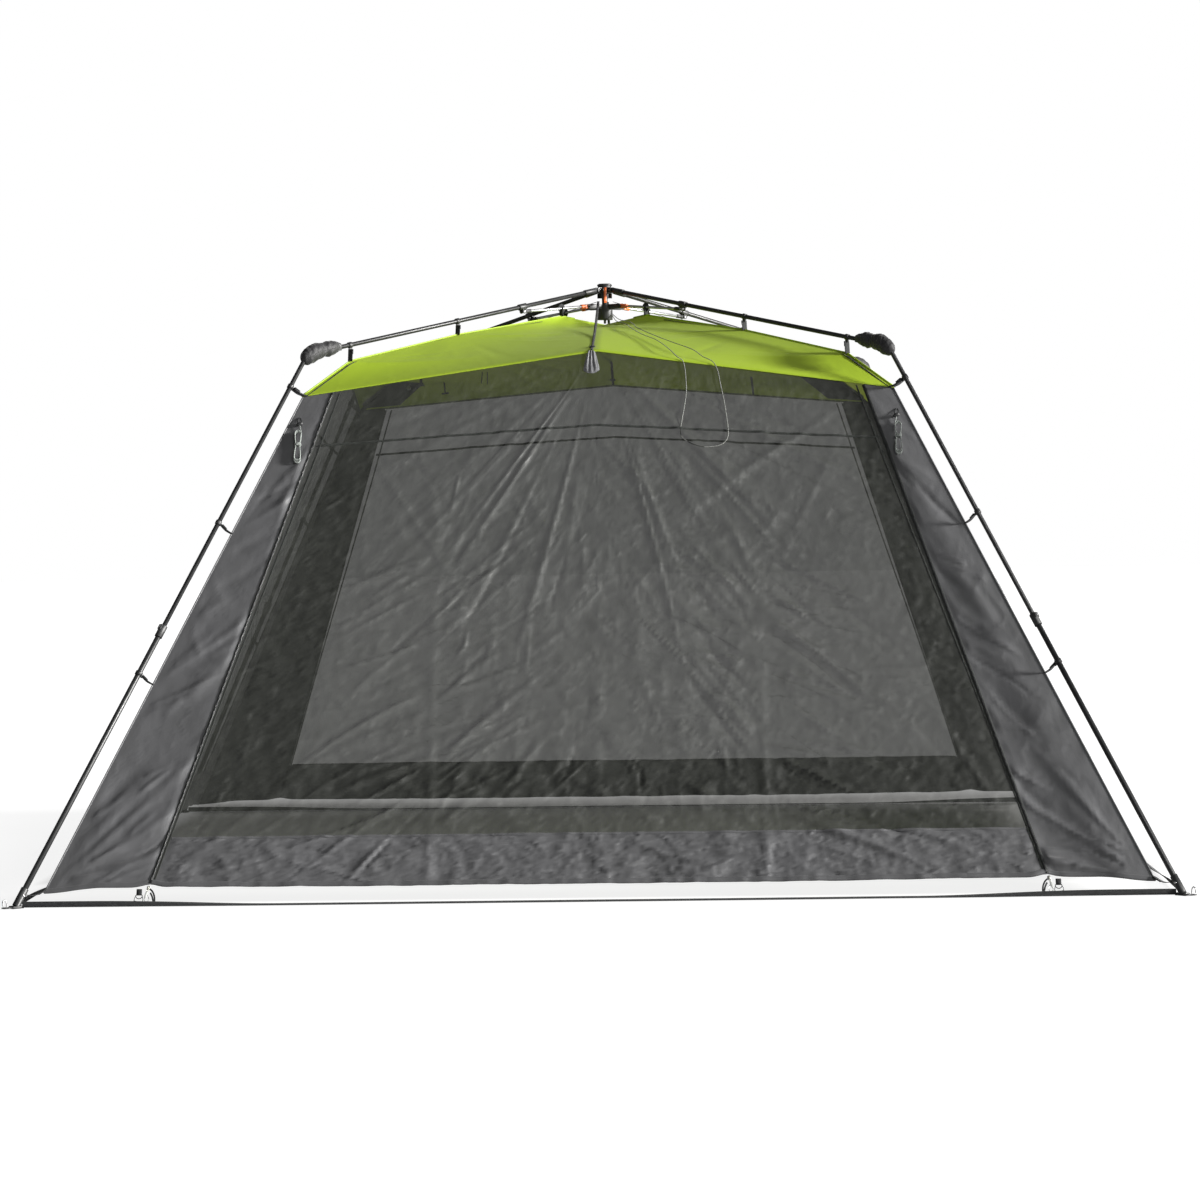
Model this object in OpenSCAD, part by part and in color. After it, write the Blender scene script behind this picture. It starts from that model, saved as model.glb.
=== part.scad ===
// Instant screen house: an umbrella frame of four roof arms and four splayed telescopic legs
// that hang a green roof and four mesh walls. Millimetres, +Z up, front towards -Y.
// The origin is on the ground at the middle of the four feet.

/* [Frame] */
// Half the distance between neighbouring feet
foot_half = 1950; // [1800:10:2050]
// Height of the knee pivots above the ground
knee_z = 1889.5; // [1850:0.5:1920]
// Half the distance between neighbouring knee pivots
knee_half = 1036; // [1020:1:1060]
// Height of the arm pivots on the hub
pivot_z = 2156; // [2140:1:2170]
// Distance of the arm pivots from the hub's axis
pivot_r = 36; // [36:0.5:38]
// Outer diameter of the roof arms and of the upper legs
tube_d = 16; // [15:0.5:16]
// Outer diameter of the lower legs
leg_d = 19.2; // [19.2:0.1:20]
// Wall thickness of the tubes
tube_wall = 1.2; // [0.8:0.1:1.4]
// Length of the lower leg tube
lower_leg_len = 1075; // [1000:5:1085]
// Overlap of the upper leg inside the lower leg when it is pulled out
leg_overlap = 120; // [80:5:160]

/* [Struts and runner] */
// Distance along an arm from its pivot to the strut bracket
bracket_s = 400; // [380:5:410]
// Drop of the strut's outer pivot below the arm's axis
bracket_drop = 18; // [18:0.5:20]
// Distance of the strut pivots on the runner from the hub's axis
runner_pivot_r = 88; // [86:1:90]
// Height of the strut pivots on the runner
runner_pivot_z = 2092; // [2088:1:2094]
// Diameter of the struts
strut_d = 10.5; // [9:0.5:11]

/* [Fabric] */
// Half width of the fabric along its bottom edge
hem_half = 1872; // [1840:1:1880]
// Height of the bottom edge
hem_z = 40; // [30:1:60]
// Half width of the roof at its corners
eave_half = 1052; // [1040:1:1060]
// Height of the roof's corners
eave_z = 1738; // [1720:1:1745]
// Height of the roof's peak under the hub
apex_z = 2024; // [2015:1:2026]
// Height of the front wall's peak
front_peak_z = 1887; // [1840:1:1890]
// Height of the back wall's peak
back_peak_z = 1827; // [1800:1:1880]
// Height of the side walls' peaks
side_peak_z = 1855; // [1820:1:1880]
// Thickness of the fabric
cloth = 0.8; // [0.8:0.1:1.5]
// Half width of a wall between its zips at the bottom edge
zip_bottom = 1521; // [1480:1:1540]
// Half width of a wall between its zips at the eave
zip_top = 946; // [930:1:960]
// Height of the solid skirt above the bottom edge
skirt_h = 174; // [150:1:190]

/* [Hidden] */

$fn = 48;

// Bearings of the four corners about the hub's axis
FL = 225;
FR = 315;
BL = 135;
BR = 45;
CORNERS = [FL, FR, BL, BR];

pin_r = 3;
pin_len = 24;
pin_play = 0.06;
press_fit = 0.02;
bore_len = 40;
tube_r = tube_d / 2;
leg_r = leg_d / 2;
tube_gap = 0.1;

// Arm: its pivot on the hub, its knee pivot and the line between them
knee_offset = 6;
knee_r = knee_half * sqrt(2);
foot_r = foot_half * sqrt(2);
arm_dx = knee_r - pivot_r;
arm_dz = pivot_z - knee_z;
arm_len = sqrt(arm_dx * arm_dx + arm_dz * arm_dz - knee_offset * knee_offset);
arm_tilt = atan2(arm_dz, arm_dx) + atan2(knee_offset, arm_len);

// Leg: from the knee pivot to the middle of the foot
foot_centre_z = 12;
leg_dx = foot_r - knee_r;
leg_dz = knee_z - foot_centre_z;
leg_len = sqrt(leg_dx * leg_dx + leg_dz * leg_dz);
leg_tilt = atan2(leg_dz, leg_dx);
lower_leg_end = leg_len - 17;
lower_leg_start = lower_leg_end - lower_leg_len;
upper_leg_end = lower_leg_start + leg_overlap;

// Strut: from the bracket on the arm to the runner
bracket_r = pivot_r + bracket_s * cos(arm_tilt) - bracket_drop * sin(arm_tilt);
bracket_z = pivot_z - bracket_s * sin(arm_tilt) - bracket_drop * cos(arm_tilt);
strut_dx = runner_pivot_r - bracket_r;
strut_dz = runner_pivot_z - bracket_z;
strut_len = sqrt(strut_dx * strut_dx + strut_dz * strut_dz);
strut_tilt = -atan2(strut_dz, strut_dx);
strut_half_w = 6.5;
strut_wall = 1;
strut_inset = 24;
clevis_gap = 14;

// Sizes of the fittings
lug_half_w = 6.7;
arm_start = 30;
sleeve_start = 16;
sleeve_end = 71;
clip_w = 14;
clip_wall = 2.8;
clip_tab_w = 5;
arm_clips = [732, 1259];
upper_leg_clip = 150;
lower_leg_clip = 1361;
knee_len = 110;
knee_pin_r = 4;
fork_gap = 20;
fork_wall = 3;
collar_above = 22;
collar_below = 24;
button_x = lower_leg_start - 11;
button_r = 4;
slide_play = 0.35;

// Hub
hub_r = 28.5;
boss_r = 26;
lever_pin_r = 1.48;
cap_top = pivot_z + 25;
cap_base = pivot_z + 16;
hub_bottom = pivot_z - 31;
spigot_r = 11;
spigot_bottom = pivot_z - 92;
lever_bearing = 275;
lever_r = 33.5;
lever_pivot_z = pivot_z + 2;

// Runner
runner_top = pivot_z - 56;
runner_bottom = pivot_z - 114;
runner_r = 29.5;

// Wall plane: its slope and its height measured along the slope
wall_run = hem_half - eave_half;
wall_rise = eave_z - hem_z;
wall_tilt = atan2(wall_rise, wall_run);
function slope_h(z) = (z - hem_z) / sin(wall_tilt);
function wall_out(z) = eave_half - (z - eave_z) * wall_run / wall_rise;

// Roof hip points at one corner, as distance from the axis and height: the innermost one is drawn
// up beside the hub, the next two hang on the arm clips and the last is the corner
inner_hip = [227, 2050];
strap_drops = [50, 58];
hip = [
  inner_hip,
  for (i = [0, 1]) [
    pivot_r + arm_clips[i] * cos(arm_tilt),
    pivot_z - arm_clips[i] * sin(arm_tilt) - strap_drops[i]
  ],
  [eave_half * sqrt(2), eave_z],
];

// Gaps between neighbouring pieces of cloth
eave_gap = 3;
seam_gap = 1;

// Webbing of the gable straps and the ground straps
webbing_w = 20;

// Pull cord: from the runner over the roof, down past the front eave and back
cord_d = 3;
cord_route = [
  [27, -16, 2062], [38, -52, 2043], [50, -100, 2030], [74, -230, 2018], [97, -400, 2001],
  [108, -490, 1988], [150, -640, 1957], [212, -800, 1924], [256, -950, 1886], [285, -998, 1856],
  [308, -1011, 1836], [316, -1037, 1782], [317, -1066, 1722], [309, -1092, 1668], [300, -1116, 1620],
  [295, -1132, 1586], [301, -1143, 1564], [322, -1151, 1547], [352, -1157, 1534], [386, -1161, 1527],
  [420, -1159, 1530], [446, -1155, 1539], [462, -1146, 1558], [465, -1131, 1588], [459, -1105, 1642],
  [451, -1079, 1696], [440, -1052, 1752], [429, -1026, 1806], [412, -1011, 1836], [378, -980, 1855],
  [340, -945, 1883], [262, -815, 1918], [195, -670, 1951], [134, -500, 1986], [118, -410, 2004],
  [94, -235, 2024], [66, -95, 2035], [48, -45, 2046], [30, -9, 2063],
];

// Guy line hanks: closed bundles that hang down the front corner panels, beside the corner seams
hank_len = 130;
hank_w = 24;
hank_t = 12;
hank_z = 1604;
hank_inset = 50;
hank_proud = 6;

// ---------- frames of reference ----------

// +X out along the arm of one corner, from its pivot
module on_arm(bearing) {
  rotate([0, 0, bearing])
    translate([pivot_r, 0, pivot_z])
      rotate([0, arm_tilt, 0])
        children();
}

// +X down along the leg of one corner, from its knee pivot
module on_leg(bearing) {
  rotate([0, 0, bearing])
    translate([knee_r, 0, knee_z])
      rotate([0, leg_tilt, 0])
        children();
}

// +X in along the strut of one corner, from its bracket
module on_strut(bearing) {
  rotate([0, 0, bearing])
    translate([bracket_r, 0, bracket_z])
      rotate([0, strut_tilt, 0])
        children();
}

// +X along a wall, +Y up its slope and +Z out of it, from the middle of its bottom edge
module on_wall(bearing) {
  rotate([0, 0, bearing])
    translate([0, -hem_half, hem_z])
      rotate([wall_tilt, 0, 0])
        children();
}

// ---------- small shapes ----------

module rod(r, x0, x1) {
  translate([x0, 0, 0])
    rotate([0, 90, 0])
      cylinder(r = r, h = x1 - x0);
}

module pipe(r_out, r_in, x0, x1) {
  difference() {
    rod(r_out, x0, x1);
    rod(r_in, x0 - 1, x1 + 1);
  }
}

// A pin or boss across the part, centred on y = 0
module cross_pin(r, width, x = 0, z = 0) {
  translate([x, width / 2, z])
    rotate([90, 0, 0])
      cylinder(r = r, h = width);
}

module block(x0, x1, width, z0, z1) {
  translate([x0, -width / 2, z0])
    cube([x1 - x0, width, z1 - z0]);
}

// Two parallel ears with a gap between them
module ears(gap, wall) {
  for (side = [-1, 1])
    translate([0, side * (gap + wall) / 2, 0])
      children();
}

// Snap-on clip around a tube, with the tab its strap is sewn to
module tube_clip(r_in, x) {
  difference() {
    union() {
      rod(r_in + clip_wall, x - clip_w / 2, x + clip_w / 2);
      block(x - clip_w / 2, x + clip_w / 2, clip_tab_w, -r_in - 10, -r_in);
    }
    rod(r_in, x - clip_w, x + clip_w);
  }
}

// ---------- hub ----------

module hub_body() {
  boss_drop = 13;
  rim_h = 18;
  slot_r = 16;
  slot_w = 24;
  ear_wall = 4;
  ear_root = 15;
  ear_r = 10;
  lever_gap = 11;
  lever_wall = 3;
  color("#26282a")
    difference() {
      union() {
        translate([0, 0, pivot_z - boss_drop])
          cylinder(r = boss_r, h = cap_base - pivot_z + boss_drop);
        difference() {
          translate([0, 0, hub_bottom])
            cylinder(r = hub_r, h = rim_h);
          for (bearing = CORNERS)
            rotate([0, 0, bearing])
              translate([slot_r, -slot_w / 2, hub_bottom - 1])
                cube([hub_r - slot_r + 1, slot_w, rim_h + 2]);
        }
        translate([0, 0, spigot_bottom])
          cylinder(r = spigot_r, h = hub_bottom - spigot_bottom + 1);
        for (bearing = CORNERS)
          rotate([0, 0, bearing])
            ears(clevis_gap, ear_wall)
              union() {
                cross_pin(ear_r, ear_wall, pivot_r, pivot_z);
                block(ear_root, pivot_r, ear_wall, pivot_z - ear_r, pivot_z + ear_r);
              }
        rotate([0, 0, lever_bearing])
          ears(lever_gap, lever_wall)
            block(20, lever_r + 4, lever_wall, lever_pivot_z - 6, lever_pivot_z + 6);
      }
      for (bearing = CORNERS)
        rotate([0, 0, bearing])
          cross_pin(pin_r + press_fit, bore_len, pivot_r, pivot_z);
      rotate([0, 0, lever_bearing])
        cross_pin(lever_pin_r + press_fit, bore_len, lever_r, lever_pivot_z);
    }
}

module hub_cap() {
  rim_h = 5;
  crown_r = 23;
  color("#1d1f20")
    union() {
      translate([0, 0, cap_base])
        cylinder(r = hub_r, h = rim_h);
      translate([0, 0, cap_base + rim_h])
        cylinder(r1 = hub_r, r2 = crown_r, h = cap_top - cap_base - rim_h);
    }
}

module hub_pins() {
  color("#8f9294") {
    for (bearing = CORNERS)
      rotate([0, 0, bearing])
        cross_pin(pin_r, pin_len, pivot_r, pivot_z);
    rotate([0, 0, lever_bearing])
      cross_pin(lever_pin_r, 16, lever_r, lever_pivot_z);
  }
}

module release_lever() {
  lever_w = 10;
  half_t = 3.5;
  lip = 6;
  lever_bottom = pivot_z - 50;
  color("#c2541f")
    rotate([0, 0, lever_bearing])
      difference() {
        union() {
          block(lever_r - half_t, lever_r + half_t, lever_w, lever_bottom, pivot_z + 9);
          block(lever_r - half_t, lever_r + lip, lever_w, lever_bottom, lever_bottom + 8);
        }
        cross_pin(lever_pin_r + 0.07, bore_len, lever_r, lever_pivot_z);
      }
}

module runner() {
  nose_h = 14;
  ear_wall = 4;
  ear_r = 9;
  washer_r = 4.5;
  washer_t = 2;
  floor_t = 13;
  spigot_play = 0.4;
  color("#26282a")
    difference() {
      union() {
        translate([0, 0, runner_bottom])
          cylinder(r = runner_r, h = runner_top - runner_bottom);
        translate([0, 0, runner_bottom - nose_h])
          cylinder(r = 5, h = nose_h + 1);
        for (bearing = CORNERS)
          rotate([0, 0, bearing]) {
            ears(clevis_gap, ear_wall)
              union() {
                block(20, runner_pivot_r, ear_wall, runner_pivot_z - ear_r, runner_pivot_z + ear_r);
                cross_pin(ear_r, ear_wall, runner_pivot_r, runner_pivot_z);
              }
            ears(clevis_gap + 2 * ear_wall, washer_t)
              cross_pin(washer_r, washer_t, runner_pivot_r, runner_pivot_z);
          }
      }
      translate([0, 0, runner_bottom + floor_t])
        cylinder(r = spigot_r + spigot_play, h = runner_top - runner_bottom);
    }
}

// ---------- one corner of the frame ----------

module arm(bearing) {
  color("#1c1e20")
    on_arm(bearing)
      pipe(tube_r, tube_r - tube_wall, arm_start, arm_len - knee_len);
}

module arm_fittings(bearing) {
  tongue_r = 9;
  tongue_half_h = 8;
  sleeve_r = 10.5;
  band_r = 11.5;
  band_half = 18;
  ear_wall = 3.5;
  ear_r = 8;
  color("#232526")
    on_arm(bearing) {
      // Root sleeve with the tongue that pivots on the hub
      difference() {
        union() {
          cross_pin(tongue_r, 2 * lug_half_w);
          block(0, sleeve_start + 2, 2 * lug_half_w, -tongue_half_h, tongue_half_h);
          rod(sleeve_r, sleeve_start, sleeve_end);
        }
        cross_pin(pin_r + pin_play, bore_len);
        rod(tube_r + tube_gap, arm_start - 0.5, sleeve_end + 1);
      }
      // Bracket that carries the strut, with its rivet
      difference() {
        union() {
          rod(band_r, bracket_s - band_half, bracket_s + band_half);
          ears(clevis_gap, ear_wall)
            union() {
              block(bracket_s - ear_r, bracket_s + ear_r, ear_wall, -bracket_drop, -4);
              cross_pin(ear_r, ear_wall, bracket_s, -bracket_drop);
            }
        }
        rod(tube_r + tube_gap, bracket_s - band_half - 2, bracket_s + band_half + 2);
        cross_pin(pin_r + press_fit, bore_len, bracket_s, -bracket_drop);
      }
      cross_pin(pin_r, pin_len, bracket_s, -bracket_drop);
      for (x = arm_clips)
        tube_clip(tube_r + tube_gap, x);
    }
}

module knee(bearing) {
  tube_end = arm_len - knee_len;
  fork_w = fork_gap + 2 * fork_wall;
  socket_half_h = 11;
  ear_r = 14;
  color("#232526")
    on_arm(bearing) {
      difference() {
        union() {
          block(tube_end - 34, tube_end + 6, fork_w, -socket_half_h, socket_half_h);
          ears(fork_gap, fork_wall)
            union() {
              block(tube_end - 20, arm_len, fork_wall, -8, knee_offset + 11);
              cross_pin(ear_r, fork_wall, arm_len, knee_offset - 3);
            }
        }
        rod(tube_r + tube_gap, tube_end - 35, tube_end + 0.5);
        cross_pin(knee_pin_r + press_fit, bore_len, arm_len, knee_offset);
      }
      cross_pin(knee_pin_r, fork_w + 4, arm_len, knee_offset);
    }
}

module strut(bearing) {
  color("#9a9d9f")
    on_strut(bearing)
      pipe(strut_d / 2, strut_d / 2 - strut_wall, strut_inset, strut_len - strut_inset);
}

module strut_ends(bearing) {
  bore_r = strut_d / 2 + tube_gap;
  socket_end = 38;
  outer_eye_r = 6;
  inner_eye_r = 8;
  on_strut(bearing) {
    color("#232526")
      difference() {
        union() {
          cross_pin(outer_eye_r, 2 * strut_half_w);
          block(0, 14, 2 * strut_half_w, -outer_eye_r, outer_eye_r);
          rod(7.2, 12, socket_end);
        }
        cross_pin(pin_r + pin_play, bore_len);
        rod(bore_r, strut_inset - 0.5, socket_end + 1);
      }
    color("#c2541f")
      difference() {
        union() {
          cross_pin(inner_eye_r, 2 * strut_half_w, strut_len);
          block(strut_len - 21, strut_len, 2 * strut_half_w, -7, 7);
          rod(8.5, strut_len - socket_end, strut_len - 20);
        }
        rod(bore_r, strut_len - socket_end - 1, strut_len - strut_inset + 0.5);
      }
  }
}

module upper_leg(bearing) {
  color("#1c1e20")
    on_leg(bearing) {
      difference() {
        union() {
          rod(tube_r, 6, upper_leg_end);
          cross_pin(10, fork_gap - 1);
        }
        cross_pin(knee_pin_r + pin_play, bore_len);
        rod(tube_r - tube_wall, 30, upper_leg_end + 1);
      }
      tube_clip(tube_r + tube_gap, upper_leg_clip);
    }
}

module collar(bearing) {
  collar_r = 13.5;
  housing_half = 9;
  x0 = lower_leg_start - collar_above;
  x1 = lower_leg_start + collar_below;
  color("#202224")
    on_leg(bearing)
      difference() {
        union() {
          rod(collar_r, x0, x1);
          block(button_x - housing_half, button_x + housing_half, 16, 5, 15);
        }
        rod(tube_r + slide_play, x0 - 1, x1 + 1);
        rod(leg_r + tube_gap, lower_leg_start - 0.3, x1 + 1);
        translate([button_x, 0, 5])
          cylinder(r = button_r + 0.3, h = 15);
      }
}

module lock_button(bearing) {
  color("#8f9294")
    on_leg(bearing)
      translate([button_x, 0, 11.5])
        cylinder(r = button_r, h = 6);
}

module lower_leg(bearing) {
  color("#1c1e20")
    on_leg(bearing) {
      pipe(leg_r, tube_r + slide_play, lower_leg_start, lower_leg_end);
      tube_clip(leg_r + tube_gap, lower_leg_clip);
    }
}

module foot(bearing) {
  stake_r = foot_r + 40;
  boot_r = 13;
  boot_len = 62;
  sole_w = 28;
  sole_h = 9;
  eye_r = 17;
  eye_hole_r = 8;
  eye_z = 3;
  eye_t = 3;
  color("#202224")
    difference() {
      union() {
        intersection() {
          on_leg(bearing)
            rod(boot_r, leg_len - boot_len, leg_len + 6);
          // Everything above the ground
          rotate([0, 0, bearing])
            block(foot_r - 2 * boot_len, foot_r + boot_len, 80, 0, 2 * boot_len);
        }
        rotate([0, 0, bearing]) {
          block(foot_r - 20, foot_r + 22, sole_w, 0, sole_h);
          translate([stake_r, 0, eye_z])
            cylinder(r = eye_r, h = eye_t);
          block(foot_r + 15, stake_r - 10, 20, eye_z, eye_z + eye_t);
        }
      }
      on_leg(bearing)
        rod(leg_r + tube_gap, leg_len - boot_len - 2, lower_leg_end + 0.3);
      rotate([0, 0, bearing])
        translate([stake_r, 0, 0])
          cylinder(r = eye_hole_r, h = 20);
    }
}

// ---------- fabric ----------

// Flat facet of cloth between three points
module facet(a, b, c) {
  down = [0, 0, -cloth];
  polyhedron(
    points = [a, b, c, a + down, b + down, c + down],
    faces = [[0, 2, 1], [3, 4, 5], [0, 1, 4, 3], [1, 2, 5, 4], [2, 0, 3, 5]]
  );
}

// Hip point i of the front panel on the left (-1) or the right (1), just clear of the next panel
function hip_point(i, side) =
  let (reach = hip[i][0] / sqrt(2))
    [side * (reach - seam_gap), -reach, hip[i][1]];

// One panel of the roof, from the apex out between two hips to the peak of its wall
module roof_panel(bearing, peak_z) {
  apex = [0, -seam_gap, apex_z];
  peak = [0, -wall_out(peak_z), peak_z];
  rotate([0, 0, bearing]) {
    facet(apex, hip_point(0, -1), peak);
    facet(apex, peak, hip_point(0, 1));
    for (i = [0:2]) {
      facet(hip_point(i, -1), hip_point(i + 1, -1), peak);
      facet(hip_point(i + 1, 1), hip_point(i, 1), peak);
    }
  }
}

module roof() {
  color("#8fae4c") {
    roof_panel(0, front_peak_z);
    roof_panel(90, side_peak_z);
    roof_panel(180, back_peak_z);
    roof_panel(270, side_peak_z);
  }
}

// Height along the wall's slope of its eave at a distance from its middle
function eave_at(x, peak_z) =
  let (corner = slope_h(eave_z), peak = slope_h(peak_z))
    peak - (peak - corner) * x / eave_half;

module wall(bearing, peak_z) {
  skirt = slope_h(hem_z + skirt_h);
  skirt_half = zip_bottom - (zip_bottom - zip_top) * skirt / eave_at(zip_top, peak_z);
  on_wall(bearing)
    translate([0, 0, -cloth]) {
      color("#6a6c6e")
        linear_extrude(cloth)
          polygon([[-zip_bottom, 0], [zip_bottom, 0], [skirt_half, skirt], [-skirt_half, skirt]]);
      color("#84868a")
        linear_extrude(cloth)
          polygon([
            [-skirt_half, skirt + seam_gap],
            [skirt_half, skirt + seam_gap],
            [zip_top, eave_at(zip_top, peak_z) - eave_gap],
            [0, slope_h(peak_z) - eave_gap],
            [-zip_top, eave_at(zip_top, peak_z) - eave_gap],
          ]);
    }
}

// Solid cloth between a zip and the corner seam; side is +1 or -1
module corner_panel(bearing, side, peak_z) {
  color("#6a6c6e")
    on_wall(bearing)
      mirror([side < 0 ? 1 : 0, 0, 0])
        translate([0, 0, -cloth])
          linear_extrude(cloth)
            polygon([
              [zip_bottom + seam_gap, 0],
              [hem_half - 2 * seam_gap, 0],
              [eave_half - 2 * seam_gap, slope_h(eave_z) - eave_gap],
              [zip_top + seam_gap, eave_at(zip_top, peak_z) - eave_gap],
            ]);
}

module corner_panels_front() {
  corner_panel(0, -1, front_peak_z);
  corner_panel(0, 1, front_peak_z);
  corner_panel(90, -1, side_peak_z);
  corner_panel(270, 1, side_peak_z);
}

module corner_panels_back() {
  corner_panel(180, -1, back_peak_z);
  corner_panel(180, 1, back_peak_z);
  corner_panel(90, 1, side_peak_z);
  corner_panel(270, -1, side_peak_z);
}

// Webbing from the hub out to one peak of the roof
module gable_strap(bearing, peak_z) {
  inner_r = 32;
  inner_z = 2068;
  end_gap = 4;
  drop = inner_z - peak_z - end_gap;
  run = wall_out(peak_z) - end_gap - inner_r;
  rotate([0, 0, bearing])
    translate([inner_r, 0, inner_z])
      rotate([0, atan2(drop, run), 0])
        block(0, sqrt(run * run + drop * drop), webbing_w, 0, 1.5);
}

module gable_straps() {
  color("#222426") {
    gable_strap(270, front_peak_z);
    gable_strap(90, back_peak_z);
    gable_strap(0, side_peak_z);
    gable_strap(180, side_peak_z);
  }
}

module ground_straps() {
  strap_half = foot_half - 38;
  strap_t = 2;
  color("#1d2022")
    for (bearing = [0, 90, 180, 270])
      rotate([0, 0, bearing])
        translate([-strap_half, -foot_half - webbing_w / 2, 1])
          cube([2 * strap_half, webbing_w, strap_t]);
}

// Zip slider and its pull, at the bottom of a front zip; side is +1 or -1
module zip_slider(side) {
  body = [12, 18, 7];
  pull = [8, 32, 5];
  lean = atan2(zip_bottom - zip_top, eave_at(zip_top, front_peak_z));
  color("#b9bab4")
    on_wall(0)
      translate([side * zip_bottom, 0, 1])
        rotate([0, 0, side * lean])
          union() {
            translate([-body[0] / 2, 6, 0])
              cube(body);
            translate([-pull[0] / 2, 8 - pull[1], 1])
              cube(pull);
          }
}

// ---------- cords ----------

function unit(v) = v / norm(v);

// Ring of points about p, square to the direction d
function ring(p, d, r, sides) =
  let (side = unit(cross(d, [0, 0.6, 0.8])), up = cross(side, d))
    [for (i = [0:sides - 1]) p + r * (cos(360 * i / sides) * side + sin(360 * i / sides) * up)];

// Tube swept along a route of points
module swept_tube(route, r, sides = 8) {
  n = len(route);
  rings = [
    for (i = [0:n - 1])
      ring(route[i], unit(route[min(i + 1, n - 1)] - route[max(i - 1, 0)]), r, sides)
  ];
  polyhedron(
    points = [for (one = rings) for (p = one) p],
    faces = concat(
      [[for (i = [0:sides - 1]) sides - 1 - i]],
      [[for (i = [0:sides - 1]) (n - 1) * sides + i]],
      [
        for (k = [0:n - 2]) for (i = [0:sides - 1]) let (j = (i + 1) % sides)
          each [
            [k * sides + i, k * sides + j, (k + 1) * sides + j],
            [k * sides + i, (k + 1) * sides + j, (k + 1) * sides + i],
          ]
      ]
    )
  );
}

module pull_cord() {
  color("#5c6068")
    swept_tube(cord_route, cord_d / 2);
}

// Folded guy line that hangs down a front corner panel; side is +1 or -1
module guy_line(side) {
  end_r = hank_w / 2;
  color("#33363a")
    on_wall(0)
      translate([side * (wall_out(hank_z) - hank_inset), slope_h(hank_z) - hank_len, hank_proud])
        linear_extrude(hank_t)
          union() {
            translate([0, end_r])
              circle(r = end_r);
            translate([0, hank_len - end_r])
              circle(r = end_r);
            translate([-end_r, end_r])
              square([hank_w, hank_len - hank_w]);
          }
}

// ---------- nodes ----------

hub_body();
hub_cap();
hub_pins();
release_lever();
runner();
arm(FL);  // arm_fl
arm(FR);  // arm_fr
arm(BL);  // arm_bl
arm(BR);  // arm_br
arm_fittings(FL);  // arm_fittings_fl
arm_fittings(FR);  // arm_fittings_fr
arm_fittings(BL);  // arm_fittings_bl
arm_fittings(BR);  // arm_fittings_br
knee(FL);  // knee_fl
knee(FR);  // knee_fr
knee(BL);  // knee_bl
knee(BR);  // knee_br
strut(FL);  // strut_fl
strut(FR);  // strut_fr
strut(BL);  // strut_bl
strut(BR);  // strut_br
strut_ends(FL);  // strut_ends_fl
strut_ends(FR);  // strut_ends_fr
strut_ends(BL);  // strut_ends_bl
strut_ends(BR);  // strut_ends_br
upper_leg(FL);  // upper_leg_fl
upper_leg(FR);  // upper_leg_fr
upper_leg(BL);  // upper_leg_bl
upper_leg(BR);  // upper_leg_br
collar(FL);  // collar_fl
collar(FR);  // collar_fr
collar(BL);  // collar_bl
collar(BR);  // collar_br
lock_button(FL);  // lock_button_fl
lock_button(FR);  // lock_button_fr
lock_button(BL);  // lock_button_bl
lock_button(BR);  // lock_button_br
lower_leg(FL);  // lower_leg_fl
lower_leg(FR);  // lower_leg_fr
lower_leg(BL);  // lower_leg_bl
lower_leg(BR);  // lower_leg_br
foot(FL);  // foot_fl
foot(FR);  // foot_fr
foot(BL);  // foot_bl
foot(BR);  // foot_br
roof();
wall(0, front_peak_z);  // wall_front
wall(180, back_peak_z);  // wall_back
wall(270, side_peak_z);  // wall_left
wall(90, side_peak_z);  // wall_right
corner_panels_front();
corner_panels_back();
gable_straps();
ground_straps();
zip_slider(-1);  // zip_slider_left
zip_slider(1);  // zip_slider_right
pull_cord();
guy_line(-1);  // guy_line_left
guy_line(1);  // guy_line_right
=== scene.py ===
"""Looks of the screen house: cloth, webbing, cords, fittings and studio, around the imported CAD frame."""

import math

import bmesh
import bpy
import numpy as np
from mathutils import Matrix, Vector


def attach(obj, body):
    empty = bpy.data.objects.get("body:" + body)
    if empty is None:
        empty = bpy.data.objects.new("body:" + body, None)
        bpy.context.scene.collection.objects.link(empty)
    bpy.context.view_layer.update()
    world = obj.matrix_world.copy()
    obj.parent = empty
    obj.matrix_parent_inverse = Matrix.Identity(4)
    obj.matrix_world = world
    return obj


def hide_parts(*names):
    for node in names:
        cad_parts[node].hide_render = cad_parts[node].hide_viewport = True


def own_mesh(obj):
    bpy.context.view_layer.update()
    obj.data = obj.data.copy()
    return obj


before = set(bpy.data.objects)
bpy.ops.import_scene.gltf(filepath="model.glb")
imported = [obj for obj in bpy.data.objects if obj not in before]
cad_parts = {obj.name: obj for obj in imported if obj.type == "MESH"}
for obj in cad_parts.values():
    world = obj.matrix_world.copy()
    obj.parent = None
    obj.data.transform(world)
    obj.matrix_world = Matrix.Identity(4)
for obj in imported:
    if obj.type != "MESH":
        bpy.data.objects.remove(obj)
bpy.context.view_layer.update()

# ---------- sizes in metres, the same as the CAD source's driving dimensions ----------

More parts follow.
